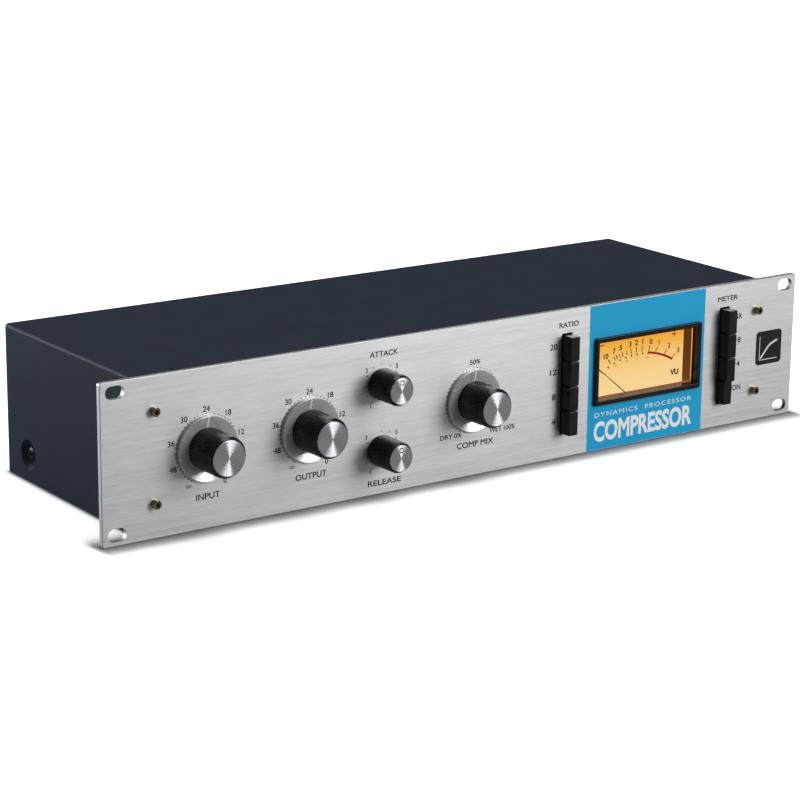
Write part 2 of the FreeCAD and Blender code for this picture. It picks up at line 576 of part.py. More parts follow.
def make_knob(name, x, z, size, count):
    front = f"-panel_thick - {size}_reach"
    rear = f"-panel_thick - {size}_rear"
    recess = "-panel_thick - recess_depth"
    bore_end = f"{front} + bore_margin"
    seat = f"{front} + cap_thick"

    body = new_body(f"{name}_knob")
    back_edge = [(rear, "recess_radius"), (rear, f"{size}_base")]
    if size == "large":
        spigot = "-panel_thick - skirt_gap - spigot_reach"
        back_edge = [(spigot, "recess_radius"), (spigot, "skirt_bore"), (rear, "skirt_bore"),
                     (rear, "large_base")]
    spin(body, f"{name}_turned", "y", [
        (seat, 0), (bore_end, 0), (bore_end, "shaft_radius"), (recess, "shaft_radius"),
        (recess, "recess_radius"), *back_edge,
        (f"{front} + shoulder", f"{size}_front"),
        (f"{front} + cap_proud", f"{size}_cap + cap_lip"), (f"{front} + cap_proud", f"{size}_cap"),
        (seat, f"{size}_cap")])
    ribs(body, f"{name}_ribs", size, count)
    place(body, x, 0, z)

    cap = new_body(f"{name}_knob_cap")
    spin(cap, f"{name}_cap_turned", "y", [
        (seat, 0), (seat, f"{size}_cap"), (f"{front} + cap_edge", f"{size}_cap"),
        (front, f"{size}_cap - cap_edge"), (front, 0)])
    if size == "small":
        prism(cap, f"{name}_index", "y", f"{front} - past", f"{front} + index_depth",
              circle(0, "index_height", "index_radius"),
              circle(0, "index_height", "index_radius - index_width"), cut=True)
    place(cap, x, 0, z)

    shaft = new_body(f"{name}_shaft")
    shaft_end = "sheet + pot_depth - pot_floor - wide_play"
    spin(shaft, f"{name}_shaft_turned", "y", [
        (bore_end, 0), (bore_end, "shaft_radius"), (shaft_end, "shaft_radius"),
        (shaft_end, 0)])
    place(shaft, x, 0, z)

    if size == "large":
        skirt = new_body(f"{name}_knob_skirt")
        skirt_rear, rim = "-panel_thick - skirt_gap", f"{rear} - skirt_dish"
        spin(skirt, f"{name}_skirt_turned", "y", [
            (skirt_rear, "skirt_bore"), (skirt_rear, "skirt_radius"),
            (f"{rim} + skirt_edge", "skirt_radius"), (rim, "skirt_radius - skirt_edge"),
            (rear, "skirt_flat"), (rear, "skirt_bore")])
        place(skirt, x, 0, z)


def make_controls():
    for name, x in LARGE_KNOBS.items():
        make_knob(name, x, 0, "large", LARGE_RIBS)
    for name, z in SMALL_KNOBS.items():
        make_knob(name, "-small_x", z, "small", SMALL_RIBS)

    pots = new_body("potentiometers")
    places = knob_places()
    prism(pots, "pot_cans", "y", "sheet", "sheet + pot_depth",
          *[circle(x, z, "pot_radius") for x, z in places])
    prism(pots, "pot_bushes", "y", "-panel_thick - bush_reach", "sheet",
          *[circle(x, z, "bush_radius") for x, z in places])
    prism(pots, "pot_bores", "y", "-panel_thick - bush_reach - past",
          "sheet + pot_depth - pot_floor",
          *[circle(x, z, "shaft_radius + shaft_play") for x, z in places], cut=True)

    nuts = new_body("pot_nuts")
    prism(nuts, "nut_hexagons", "y", "-panel_thick - nut_thick", "-panel_thick",
          *[hexagon(x, z, "nut_flats / 2 / cos(30)") for x, z in places])
    prism(nuts, "nut_threads", "y", "-panel_thick - nut_thick - past", "-panel_thick + past",
          *[circle(x, z, "bush_radius + thread_play") for x, z in places], cut=True)


# ---- push buttons ----

def key_centre(index):
    return f"-keys_low + key_pitch * {index + 0.5} - key_gap / 2"


def make_key(label, x, index, pushed=0):
    """A key with rounded front edges on a square stem, pushed in by this much at rest."""
    body = new_body(label)
    front, rear = f"-panel_thick - key_reach + {pushed}", f"key_rear + {pushed}"
    half_z = "(key_pitch - key_gap) / 2"
    prism(body, label + "_face", "y", front, rear,
          box(0, 0, "key_width / 2", half_z, "key_corner"))
    soften(body, label + "_edges", "Fillet", "y", front, "key_round")
    prism(body, label + "_stem", "y", rear, f"stem_end + {pushed}",
          box(0, 0, "stem_half", "stem_half"))
    place(body, x, 0, key_centre(index))


def make_bank(label, x):
    body = new_body(label)
    prism(body, label + "_frame", "y", "bank_front", "bank_rear",
          box(x, 0, "bank_half", "keys_low + bank_end"))
    prism(body, label + "_bores", "y", "bank_front - past", "bank_bore",
          *[box(x, key_centre(index), "stem_half + stem_play", "stem_half + stem_play")
            for index in range(4)], cut=True)


def make_keys():
    for index, number in enumerate(RATIO_KEYS):
        make_key(f"ratio_key_{number}", "ratio_x", index)
    make_key("power_key", "meter_key_x", 0, pushed="latched_in")
    for index, name in enumerate(METER_KEYS, start=1):
        make_key(f"meter_key_{name}", "meter_key_x", index)
    make_bank("ratio_switch_bank", "ratio_x")
    make_bank("meter_switch_bank", "meter_key_x")


# ---- meter ----

def make_meter():
    opening = box("meter_x", "meter_z", "opening_half_x", "opening_half_z")
    bezel = new_body("meter_bezel")
    prism(bezel, "bezel_frame", "y", "-panel_thick - bezel_reach", "-panel_thick",
          box("meter_x", "meter_z", "bezel_half_x", "bezel_half_z", "bezel_corner"), opening)
    soften(bezel, "bezel_edges", "Fillet", "y", "-panel_thick - bezel_reach", "bezel_edge")
    prism(bezel, "bezel_tube", "y", "-panel_thick - tube_bite", "sheet",
          box("meter_x", "meter_z", "opening_half_x + tube_wall",
              "opening_half_z + tube_wall"), opening)

    window = new_body("meter_window")
    prism(window, "window_pane", "y", "sheet - glass_thick", "sheet",
          box("meter_x", "meter_z", "opening_half_x - pane_play",
              "opening_half_z - pane_play"))

    housing = new_body("meter_housing")
    left, right = "meter_x - view_half_x", "meter_x + view_half_x"
    prism(housing, "housing_block", "y", "sheet", "housing_rear",
          span("meter_x - housing_half_x", "meter_x + housing_half_x", "-housing_low",
               "housing_top"))
    card_rear, inner_rear = "card_front + card_thick", "housing_rear - housing_wall"
    prism(housing, "view_space", "y", "sheet - past", card_rear,
          span(left, right, "-view_low", "view_high"), cut=True)
    prism(housing, "light_box", "y", f"{card_rear} - card_play", inner_rear,
          span(f"{left} + housing_wall", f"{right} - housing_wall",
               "-view_low + housing_wall", "view_high - housing_wall"), cut=True)
    prism(housing, "movement_space", "y", "movement_front", inner_rear,
          span("meter_x - movement_half", "meter_x + movement_half",
               "-housing_low + housing_wall", "-view_low - housing_wall"), cut=True)
    below = "-view_low - housing_wall - slot_play"
    prism(housing, "magnet_space", "y", "coil_front", inner_rear,
          span("meter_x - magnet_half", "meter_x + magnet_half", below,
               "-view_low + magnet_rise"), cut=True)
    prism(housing, "needle_slot", "y", "needle_front - slot_play",
          "needle_front + needle_thick + slot_play",
          span("meter_x - slot_half", "meter_x + slot_half", below, "-view_low + past"),
          cut=True)

    card = new_body("meter_scale_card")
    prism(card, "card_sheet", "y", "card_front", card_rear,
          span(f"{left} + card_play", f"{right} - card_play", "-view_low + card_play",
               "view_high - card_play"))

    lamps = new_body("meter_lamp_board")
    lamp_face = "housing_rear - lamp_board"
    prism(lamps, "lamp_plate", "y", lamp_face, "housing_rear - lamp_board_rear",
          span(f"{left} + lamp_inset", f"{right} - lamp_inset", "-view_low + lamp_inset",
               "view_high - lamp_inset"))
    prism(lamps, "lamp_domes", "y", "housing_rear - lamp_front", lamp_face,
          *[circle(f"meter_x + {step} * lamp_pitch", "meter_z", "lamp_radius")
            for step in (-1, 0, 1)])

    magnet = new_body("meter_magnet")
    depth = ("coil_front + coil_wire + coil_air", "coil_rear - coil_wire - coil_air")
    web_low, web_high = "core_radius - web_bite", "ring_bore + web_bite"
    prism(magnet, "magnet_ring", "y", *depth, circle(0, 0, "ring_radius"),
          circle(0, 0, "ring_bore"))
    prism(magnet, "magnet_core", "y", *depth, circle(0, 0, "core_radius"))
    prism(magnet, "magnet_webs", "y", *depth,
          span("-web_half", "web_half", web_low, web_high),
          span("-web_half", "web_half", f"-({web_high})", f"-({web_low})"))
    place(magnet, "meter_x", 0, "-pivot_z")

    rest_turn = (Vector(0, 1, 0), -value("needle_angle"))
    coil = new_body("meter_coil")
    prism(coil, "coil_winding", "z", "-coil_half", "coil_half",
          span("-coil_radius", "coil_radius", "coil_front", "coil_rear"),
          span("-coil_radius + coil_wire", "coil_radius - coil_wire",
               "coil_front + coil_wire", "coil_rear - coil_wire"))
    prism(coil, "coil_pivot", "y", "coil_rear - pivot_bite", "coil_rear + pivot_length",
          circle(0, 0, "pivot_radius"))
    place(coil, "meter_x", 0, "-pivot_z", rest_turn)

    needle = new_body("meter_needle")
    back = "needle_front + needle_thick"
    prism(needle, "needle_blade", "y", "needle_front", back, outline(
        ("blade_root", 0), ("blade_tip", "needle_length"), ("-blade_tip", "needle_length"),
        ("-blade_root", 0), ("-tail_half", "-tail_length"), ("tail_half", "-tail_length")))
    prism(needle, "needle_hub", "y", "needle_front - hub_proud", f"{back} + hub_proud",
          circle(0, 0, "hub_radius"))
    prism(needle, "needle_spindle", "y", back, "coil_front", circle(0, 0, "spindle_radius"))
    place(needle, "meter_x", 0, "-pivot_z", rest_turn)


# ---- rear connectors ----

def pin_places(x):
    """Three XLR contacts in a triangle."""
    return [(f"{x} + xlr_pin_circle * cos({angle})", f"xlr_pin_circle * sin({angle})")
            for angle in (30, 150, 270)]


def flange(body, name, x, *cavity):
    """A square flange and its shell, hollowed by the cavity's rings."""
    prism(body, name + "_flange", "y", REAR_FACE, FLANGE_FACE,
          box(x, 0, "flange_half_x", "flange_half_z", "flange_corner"))
    prism(body, name + "_shell", "y", "case_depth - shell_depth", REAR_FACE,
          circle(x, 0, "shell_radius"))
    prism(body, name + "_screw_holes", "y", "case_depth - past", PAST_FLANGE,
          *[circle(*spot, "small_shank + hole_play") for spot in flange_screws(x)], cut=True)
    prism(body, name + "_cavity", "y", "case_depth - cavity_depth", PAST_FLANGE,
          *[circle(x, 0, radius) for radius in cavity], cut=True)


def make_xlr_connectors():
    female = new_body("xlr_input")
    flange(female, "female", "-xlr_in_x", "xlr_cavity", "xlr_insert")
    prism(female, "contact_holes", "y", "case_depth - contact_hole_depth", PAST_FLANGE,
          *[circle(x, z, "contact_hole") for x, z in pin_places("-xlr_in_x")], cut=True)
    prism(female, "tab_slot", "y", "case_depth - tab_slot_depth", PAST_FLANGE,
          box("-xlr_in_x", "tab_z", "tab_half_x + wide_play", "tab_half_z + wide_play"),
          cut=True)

    tab = new_body("xlr_release_tab")
    prism(tab, "tab_blade", "y", "case_depth - tab_root", f"{FLANGE_FACE} + tab_proud",
          box("-xlr_in_x", "tab_z", "tab_half_x", "tab_half_z"))

    male = new_body("xlr_output")
    flange(male, "male", "-xlr_out_x", "xlr_male_cavity")
    prism(male, "contact_pins", "y", "case_depth - cavity_depth - past",
          "case_depth - contact_pin_end",
          *[circle(x, z, "contact_pin") for x, z in pin_places("-xlr_out_x")])


def make_jack_sockets():
    body = new_body("jack_sockets")
    places = ("-jack_in_x", "-jack_out_x")
    bush_end = "case_depth + jack_bush_reach"
    prism(body, "jack_blocks", "y", "case_depth - jack_depth", "case_depth - sheet",
          *[box(x, 0, "jack_half", "jack_half") for x in places])
    prism(body, "jack_bushes", "y", "case_depth - sheet", bush_end,
          *[circle(x, 0, "jack_bush") for x in places])
    prism(body, "jack_nuts", "y", "case_depth", "case_depth + jack_nut_thick",
          *[hexagon(x, 0, "jack_nut_radius") for x in places])
    prism(body, "jack_bores", "y", "case_depth - jack_bore_depth", f"{bush_end} + past",
          *[circle(x, 0, "jack_bore") for x in places], cut=True)


def make_mains_inlet():
    body = new_body("mains_inlet")
    prism(body, "inlet_flange", "y", REAR_FACE, FLANGE_FACE,
          box("inlet_x", 0, "inlet_half_x", "inlet_half_z + inlet_edge", "inlet_corner"))
    prism(body, "inlet_body", "y", "case_depth - inlet_depth", REAR_FACE,
          box("inlet_x", 0, "inlet_half_x - inlet_step", "inlet_half_z - inlet_step"))
    prism(body, "inlet_screw_holes", "y", "case_depth - past", PAST_FLANGE,
          *[circle(x, z, "small_shank + hole_play") for x, z in INLET_SCREWS], cut=True)
    left, right = "inlet_x - socket_half_x", "inlet_x + socket_half_x"
    prism(body, "inlet_socket", "y", "case_depth - inlet_socket_depth", PAST_FLANGE, outline(
        (right, "-socket_low"), (right, "socket_high - socket_cut"),
        (f"{right} - socket_cut", "socket_high"), (f"{left} + socket_cut", "socket_high"),
        (left, "socket_high - socket_cut"), (left, "-socket_low")), cut=True)
    blades = (("inlet_x - blade_pitch", "blade_low"), ("inlet_x", "blade_high"),
              ("inlet_x + blade_pitch", "blade_low"))
    prism(body, "inlet_blades", "y", "case_depth - inlet_socket_depth - past",
          "case_depth - blade_end",
          *[box(x, z, "blade_half_x", "blade_half_z") for x, z in blades])
    drawer_middle = "-(drawer_low + drawer_high) / 2"
    drawer_half = "(drawer_low - drawer_high) / 2"
    prism(body, "drawer_space", "y", "case_depth - drawer_depth - drawer_end_play",
          PAST_FLANGE, box("inlet_x", drawer_middle, "drawer_half_x + drawer_play",
                           f"{drawer_half} + drawer_play"), cut=True)

    drawer = new_body("fuse_drawer")
    prism(drawer, "drawer_block", "y", "case_depth - drawer_depth",
          f"{FLANGE_FACE} + drawer_proud",
          box("inlet_x", drawer_middle, "drawer_half_x", drawer_half))
    prism(drawer, "fuse_bay", "z", "-drawer_low + fuse_floor", "-drawer_high + past",
          span("inlet_x - fuse_half", "inlet_x + fuse_half", "case_depth - fuse_rear",
               "case_depth - fuse_front"), cut=True)
    prism(drawer, "finger_notch", "z", "-drawer_high - notch_depth", "-drawer_high + past",
          span("inlet_x - notch_half", "inlet_x + notch_half",
               f"{FLANGE_FACE} - notch_step", PAST_FLANGE), cut=True)


# ---- inside ----

def make_boards():
    main = new_body("main_board")
    prism(main, "main_plate", "z", "-board_z", BOARD_TOP,
          span("-board_left", "board_right", "board_front", "board_rear"))
    prism(main, "post_holes", "z", "-board_z - past", f"{BOARD_TOP} + past",
          *[circle(x, y, "small_shank + wide_play") for x, y in BOARD_POSTS], cut=True)

    posts = new_body("board_standoffs")
    prism(posts, "post_columns", "z", CASE_FLOOR, "-board_z",
          *[hexagon(x, y, "post_radius") for x, y in BOARD_POSTS])
    prism(posts, "post_threads", "z", "-board_z - post_inset", "-board_z + past",
          *[circle(x, y, "small_shank + close_play") for x, y in BOARD_POSTS], cut=True)

    control = new_body("control_board")
    prism(control, "control_plate", "y", "control_board_y", "control_board_y + board_thick",
          span("-control_left", "control_right", "-control_half", "control_half"))


def make_power_parts():
    toroid = new_body("mains_transformer")
    top = f"{CASE_FLOOR} + toroid_height"
    spin(toroid, "toroid_winding", "z", [
        (CASE_FLOOR, "toroid_bore + toroid_bore_round"),
        (CASE_FLOOR, "toroid_radius - toroid_round"),
        (f"{CASE_FLOOR} + toroid_round", "toroid_radius"),
        (f"{top} - toroid_round", "toroid_radius"), (top, "toroid_radius - toroid_round"),
        (top, "toroid_bore + toroid_bore_round"), (f"{top} - toroid_bore_round", "toroid_bore"),
        (f"{CASE_FLOOR} + toroid_bore_round", "toroid_bore")])
    place(toroid, "toroid_x", "toroid_y", 0)

    bolt = new_body("mains_transformer_bolt")
    washer_top = f"{top} + washer_thick"
    nut_top = f"{washer_top} + bolt_nut_thick"
    spin(bolt, "bolt_turned", "z", [
        ("-case_bottom", 0), ("-case_bottom", "bolt_radius"), (top, "bolt_radius"),
        (top, "washer_radius"), (washer_top, "washer_radius"),
        (washer_top, "bolt_nut_radius"), (nut_top, "bolt_nut_radius"),
        (nut_top, "bolt_radius"), (f"{nut_top} + bolt_end", "bolt_radius"),
        (f"{nut_top} + bolt_end", 0)])
    place(bolt, "toroid_x", "toroid_y", 0)

    caps = new_body("filter_capacitors")
    can_top = f"{BOARD_TOP} + capacitor_height"
    prism(caps, "capacitor_cans", "z", BOARD_TOP, can_top,
          *[circle(f"capacitor_left + {column} * capacitor_pitch",
                   f"capacitor_front + {row} * capacitor_pitch", "capacitor_radius")
            for column in range(3) for row in range(2)])
    soften(caps, "capacitor_tops", "Chamfer", "z", can_top, "capacitor_edge")

    sinks = new_body("regulator_heatsinks")
    for index in range(2):
        prism(sinks, f"sink_{index}", "z", BOARD_TOP, f"{BOARD_TOP} + sink_height",
              outline(*[(f"sink_left + {index} * sink_pitch + {x}", f"sink_front + {y}")
                        for x, y in comb()]))


def comb():
    """The outline of a finned strip: its back lies along y = 0."""
    points = [((SINK_FINS - 1) * SINK_PITCH + SINK_FIN, y) for y in (0, SINK_DEPTH)]
    for fin in reversed(range(SINK_FINS)):
        left = fin * SINK_PITCH
        points.append((left, SINK_DEPTH))
        if fin:
            before = left - SINK_PITCH + SINK_FIN
            points += [(left, SINK_BACK), (before, SINK_BACK), (before, SINK_DEPTH)]
    return points + [(0, 0)]


def make_audio_transformers():
    for label, x in AUDIO_TRANSFORMERS.items():
        body = new_body(label)
        top = f"{BOARD_TOP} + can_height"
        prism(body, label + "_can", "z", BOARD_TOP, top,
              box(x, "can_y", "can_half_x", "can_half_y", "can_corner"))
        soften(body, label + "_edge", "Fillet", "z", top, "can_round")


# ---- build, check and write ----

def failed(item):
    return any(word in item.State for word in ("Invalid", "Error"))


def check_and_write():
    doc.recompute()
    broken = [item.Name for item in doc.Objects if failed(item)]
    if broken:
        raise RuntimeError("failed objects: " + ", ".join(broken))
    for node in nodes:
        if node.Shape.isNull() or not node.Shape.isValid():
            raise RuntimeError("bad shape: " + node.Label)
    os.makedirs("parts", exist_ok=True)
    for node in nodes:
        node.Shape.exportStep(f"parts/{node.Label}.step")
    print(len(nodes), "sub-parts written")


make_front_panel()
make_chassis_tray()
make_top_cover()
make_fasteners()
make_controls()
make_keys()
make_meter()
make_xlr_connectors()
make_jack_sockets()
make_mains_inlet()
make_boards()
make_power_parts()
make_audio_transformers()
check_and_write()
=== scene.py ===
import json
import math

import bmesh
import bpy
from mathutils import Matrix, Vector


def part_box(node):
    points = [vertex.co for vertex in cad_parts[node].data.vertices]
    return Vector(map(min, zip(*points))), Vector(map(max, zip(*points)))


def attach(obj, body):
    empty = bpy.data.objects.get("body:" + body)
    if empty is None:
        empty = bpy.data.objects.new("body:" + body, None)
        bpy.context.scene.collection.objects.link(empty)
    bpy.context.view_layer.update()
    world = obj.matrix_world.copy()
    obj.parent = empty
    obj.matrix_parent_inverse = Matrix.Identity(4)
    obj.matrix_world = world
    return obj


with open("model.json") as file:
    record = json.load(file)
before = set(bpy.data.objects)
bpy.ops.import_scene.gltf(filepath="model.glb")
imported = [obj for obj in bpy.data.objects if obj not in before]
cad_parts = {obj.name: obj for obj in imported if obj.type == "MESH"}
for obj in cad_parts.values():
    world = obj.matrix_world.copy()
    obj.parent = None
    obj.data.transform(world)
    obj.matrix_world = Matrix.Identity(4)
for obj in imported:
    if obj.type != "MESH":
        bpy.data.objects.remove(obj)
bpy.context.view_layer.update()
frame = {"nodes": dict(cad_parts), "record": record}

MM = 0.001
PRINT = 0.04 * MM      # how far ink stands off the surface it is printed on

# ---- the camera: it looks at the left front of the unit, a little from above ----
CAMERA_AZIMUTH = -35.56         # degrees, as are the next two
CAMERA_ELEVATION = 15.22
CAMERA_ROLL = 0.66
CAMERA_PLACE = Vector((-0.84741, -1.11783, 0.38102))
CAMERA_LENS = 115.97            # mm, on a sensor this wide
CAMERA_SENSOR = 36.0
CAMERA_SHIFT = (-0.0074, -0.0022)
CAMERA_CLIP = (0.05, 60.0)

# ---- colours, linear; a ramp is a row of (place, colour) ----
INK = (0.009, 0.009, 0.011)
PALE_INK = (0.86, 0.88, 0.88)
PANEL_METAL = (0.595, 0.597, 0.6)
STRIP_BLUE = (0.014, 0.36, 0.64)
# painted lamp light: the glows of the meter's card, its walls and its pane's edge, bottom to top
CARD_PAINTED_GLOW = ((0.0, (0.97, 0.70, 0.33)), (0.35, (0.98, 0.66, 0.28)), (0.6, (0.95, 0.58, 0.18)),
         (0.8, (0.93, 0.47, 0.07)), (1.0, (0.88, 0.35, 0.022)))
WALL_PAINTED_GLOW = ((0.0, (0.25, 0.105, 0.045)), (0.03, (0.25, 0.105, 0.045)),
         (0.06, (0.16, 0.048, 0.009)), (1.0, (0.10, 0.03, 0.005)))
RIM_GLOW = ((0.0, (0.40, 0.13, 0.05)), (0.1, (0.75, 0.38, 0.12)), (1.0, (0.85, 0.42, 0.10)))
METER_RED = (0.42, 0.008, 0.004)
METER_INK = (0.02, 0.007, 0.003)
METER_FAINT = (0.35, 0.16, 0.05)
CAP_METAL = (0.66, 0.665, 0.69)
SHELL_DARK, SHELL_LIGHT = (0.44, 0.44, 0.43), (0.62, 0.62, 0.61)
SKIRT_DARK, SKIRT_LIGHT = (0.60, 0.60, 0.58), (0.68, 0.68, 0.66)

NOISE_LOW, NOISE_HIGH = 0.3, 0.7    # most of a noise texture lies between these
INSERT_SHADE = 0.02                 # a connector's black insert against its nickel plate


def middle(node):
    low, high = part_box(node)
    return (low + high) / 2


PANEL_LOW, PANEL_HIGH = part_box("front_panel")
PANEL_FRONT = PANEL_LOW.y
PANEL_BASE = PANEL_LOW.z
METER = middle("meter_bezel")
CARD_LOW, CARD_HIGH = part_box("meter_scale_card")
CARD_FACE = CARD_LOW.y
CASE_LOW, CASE_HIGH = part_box("chassis_tray")


# ---- materials ----

def shader(name, settings):
    """A material whose Principled shader has these settings."""
    material = bpy.data.materials.new(name)
    material.use_nodes = True
    principled = material.node_tree.nodes["Principled BSDF"]
    for socket, number in settings.items():
        if isinstance(number, tuple):
            number = (*number, 1.0)
        principled.inputs[socket].default_value = number
    return material


def add_node(material, kind, inputs=None, **settings):
    node = material.node_tree.nodes.new(kind)
    for key, number in settings.items():
        setattr(node, key, number)
    for socket, number in (inputs or {}).items():
        if isinstance(number, bpy.types.NodeSocket):
            material.node_tree.links.new(number, node.inputs[socket])
        else:
            node.inputs[socket].default_value = number
    return node


def feed(material, socket, source):
    principled = material.node_tree.nodes["Principled BSDF"]
    material.node_tree.links.new(source, principled.inputs[socket])


def place_of_surface(material, stretch=(1, 1, 1), offset=(0, 0, 0)):
    """The object's own coordinates, scaled along each axis."""
    coordinates = add_node(material, "ShaderNodeTexCoord")
    return add_node(material, "ShaderNodeMapping",
                    {"Vector": coordinates.outputs["Object"], "Scale": stretch,
                     "Location": offset}).outputs["Vector"]


def from_axis(material, centre):
    """The surface's distance from the axis along Y through this centre."""
    moved = place_of_surface(material, offset=(-centre.x, 0.0, -centre.z))
    flat = add_node(material, "ShaderNodeVectorMath", {0: moved, 1: (1.0, 0.0, 1.0)},
                    operation="MULTIPLY").outputs["Vector"]
    return add_node(material, "ShaderNodeVectorMath", {0: flat},
                    operation="LENGTH").outputs["Value"]


def math_node(material, operation, first, second):
    return add_node(material, "ShaderNodeMath", {0: first, 1: second},
                    operation=operation).outputs["Value"]


def grain(material, per_metre, detail=3.0, rough=0.55, offset=(0, 0, 0)):
    """Noise with about this many grains to the metre, or one number for each axis."""
    stretch = per_metre if isinstance(per_metre, (tuple, list)) else (per_metre,) * 3
    return add_node(material, "ShaderNodeTexNoise",
                    {"Vector": place_of_surface(material, stretch, offset), "Scale": 1.0,
                     "Detail": detail, "Roughness": rough}).outputs["Fac"]


def colours(material, factor, stops):
    """A colour ramp through (position, colour) stops."""
    ramp = add_node(material, "ShaderNodeValToRGB", {"Fac": factor})
    while len(ramp.color_ramp.elements) < len(stops):
        ramp.color_ramp.elements.new(0.5)
    for element, (position, colour) in zip(ramp.color_ramp.elements, stops):
        element.position = position
        element.color = (*colour, 1.0)
    return ramp.outputs["Color"]


def spread(material, noise, low, high):
    """The range in which most of the noise lies, mapped to low to high."""
    return add_node(material, "ShaderNodeMapRange",
                    {"Value": noise, "From Min": NOISE_LOW, "From Max": NOISE_HIGH,
                     "To Min": low, "To Max": high}).outputs["Result"]


def scaled(colour, factor):
    return tuple(channel * factor for channel in colour)


def mottle(material, noise, colour, dark, light):
    """Base colour that varies with the noise between these two factors of a colour."""
    feed(material, "Base Color", colours(material, noise, [
        (NOISE_LOW, scaled(colour, dark)), (NOISE_HIGH, scaled(colour, light))]))


def uneven_gloss(material, noise, low, high):
    feed(material, "Roughness", spread(material, noise, low, high))


def relief(material, height, depth):
    feed(material, "Normal", add_node(material, "ShaderNodeBump",
                                      {"Height": height, "Distance": depth,
                                       "Strength": 1.0}).outputs["Normal"])


FINE_ACROSS, FINE_ALONG = 3400.0, 90.0      # scratches to the metre
BROAD_ACROSS, BROAD_ALONG = 700.0, 14.0     # bands to the metre


def brushed_metal(name, base, along, roughness, settings=None):
    """Fine scratches that run along one axis, with faint longer bands of tone."""
    material = shader(name, {"Metallic": 1.0, **(settings or {})})
    axis = "xyz".index(along)
    fine, broad = [FINE_ACROSS] * 3, [BROAD_ACROSS] * 3
    fine[axis], broad[axis] = FINE_ALONG, BROAD_ALONG
    scratches = grain(material, fine, detail=4.0, rough=0.65)
    bands = grain(material, broad, offset=(3.1, 1.7, 5.3))
    both = add_node(material, "ShaderNodeMix", {"Factor": 0.35, "A": scratches, "B": bands},
                    data_type="FLOAT").outputs["Result"]
    feed(material, "Base Color", colours(material, both, [
        (0.36, scaled(base, 0.88)), (0.5, base), (0.66, scaled(base, 1.1))]))
    uneven_gloss(material, both, roughness - 0.03, roughness + 0.04)
    relief(material, scratches, 0.004 * MM)
    return material


def brushed_panel():
    """Aluminium brushed from side to side, which blurs reflections mostly up and down."""
    material = brushed_metal("brushed_panel", PANEL_METAL, "x", 0.42,
                             settings={"Anisotropic": 0.5, "Anisotropic Rotation": 0.25})
    tangent = add_node(material, "ShaderNodeTangent", direction_type="RADIAL", axis="Z")
    feed(material, "Tangent", tangent.outputs["Tangent"])
    return material


def powder_coat(name, base):
    """A fine-textured baked coat, slightly mottled."""
    material = shader(name, {"Specular IOR Level": 0.24})
    texture = grain(material, per_metre=2300.0, detail=2.0)
    mottle(material, grain(material, per_metre=60.0, detail=2.0), base, 0.9, 1.12)
    uneven_gloss(material, texture, 0.42, 0.56)
    relief(material, texture, 0.025 * MM)
    return material


def plastic(name, base, roughness, specular=0.5):
    """Moulded plastic with a slight orange-peel surface."""
    material = shader(name, {"Specular IOR Level": specular})
    wear = grain(material, per_metre=90.0, offset=(2, 5, 1))
    mottle(material, wear, base, 0.85, 1.2)
    uneven_gloss(material, wear, roughness - 0.04, roughness + 0.06)
    relief(material, grain(material, per_metre=2000.0, detail=2.0), 0.004 * MM)
    return material


def plated_metal(name, base, roughness):
    """Zinc or nickel plate with soft stains."""
    material = shader(name, {"Metallic": 1.0})
    stain = grain(material, per_metre=260.0, detail=4.0)
    mottle(material, stain, base, 0.8, 1.08)
    uneven_gloss(material, stain, roughness - 0.05, roughness + 0.1)
    relief(material, grain(material, per_metre=1500.0, detail=2.0), 0.003 * MM)
    return material


def spun_metal(name, base, centre):
    """Concentric turning marks about an axis along Y, which draw a highlight into two fans."""
    material = shader(name, {"Metallic": 1.0, "Anisotropic": 1.0, "Anisotropic Rotation": 0.25})
    tangent = add_node(material, "ShaderNodeTangent", direction_type="RADIAL", axis="Y")
    feed(material, "Tangent", tangent.outputs["Tangent"])
    marks_out = math_node(material, "MULTIPLY", from_axis(material, centre), 5200.0)
    rings = add_node(material, "ShaderNodeTexNoise", {"W": marks_out, "Scale": 1.0, "Detail": 3.0},
                     noise_dimensions="1D").outputs["Fac"]
    mottle(material, rings, base, 0.86, 1.05)
    uneven_gloss(material, rings, 0.24, 0.32)
    relief(material, rings, 0.004 * MM)
    return material


def connector_shell(name, centre, insert_radius, insert_end):
    """Nickel plate, and near the axis a black insert wherever Y is below its end."""
    material = shader(name, {})
    place = add_node(material, "ShaderNodeSeparateXYZ", {"Vector": place_of_surface(material)})
    near = math_node(material, "LESS_THAN", from_axis(material, centre), insert_radius)
    deep = math_node(material, "LESS_THAN", place.outputs["Y"], insert_end)
    insert = math_node(material, "MULTIPLY", near, deep)
    stain = grain(material, per_metre=260.0, detail=4.0)
    plate = colours(material, stain, [(NOISE_LOW, SHELL_DARK), (NOISE_HIGH, SHELL_LIGHT)])
    shade = add_node(material, "ShaderNodeMapRange",
                     {"Value": insert, "To Min": 1.0, "To Max": INSERT_SHADE}).outputs["Result"]
    feed(material, "Base Color", add_node(material, "ShaderNodeVectorMath", {0: plate, 1: shade},
                                          operation="MULTIPLY").outputs["Vector"])
    feed(material, "Metallic", math_node(material, "SUBTRACT", 1.0, insert))
    uneven_gloss(material, stain, 0.25, 0.4)
    return material


def clear_plastic(name, tint, see_through, edge):
    """Clear acrylic: see-through face on, milky where it turns away."""
    material = shader(name, {"Base Color": tint, "Roughness": 0.12, "Coat Weight": 0.4,
                             "Coat Roughness": 0.03})
    facing = add_node(material, "ShaderNodeLayerWeight", {"Blend": 0.35}).outputs["Facing"]
    haze = grain(material, per_metre=180.0, detail=2.0)
    alpha = add_node(material, "ShaderNodeMapRange",
                     {"Value": facing, "From Min": 0.1, "From Max": 0.9, "To Min": see_through,
                      "To Max": edge}).outputs["Result"]
    feed(material, "Alpha", alpha)
    relief(material, haze, 0.01 * MM)
    return material


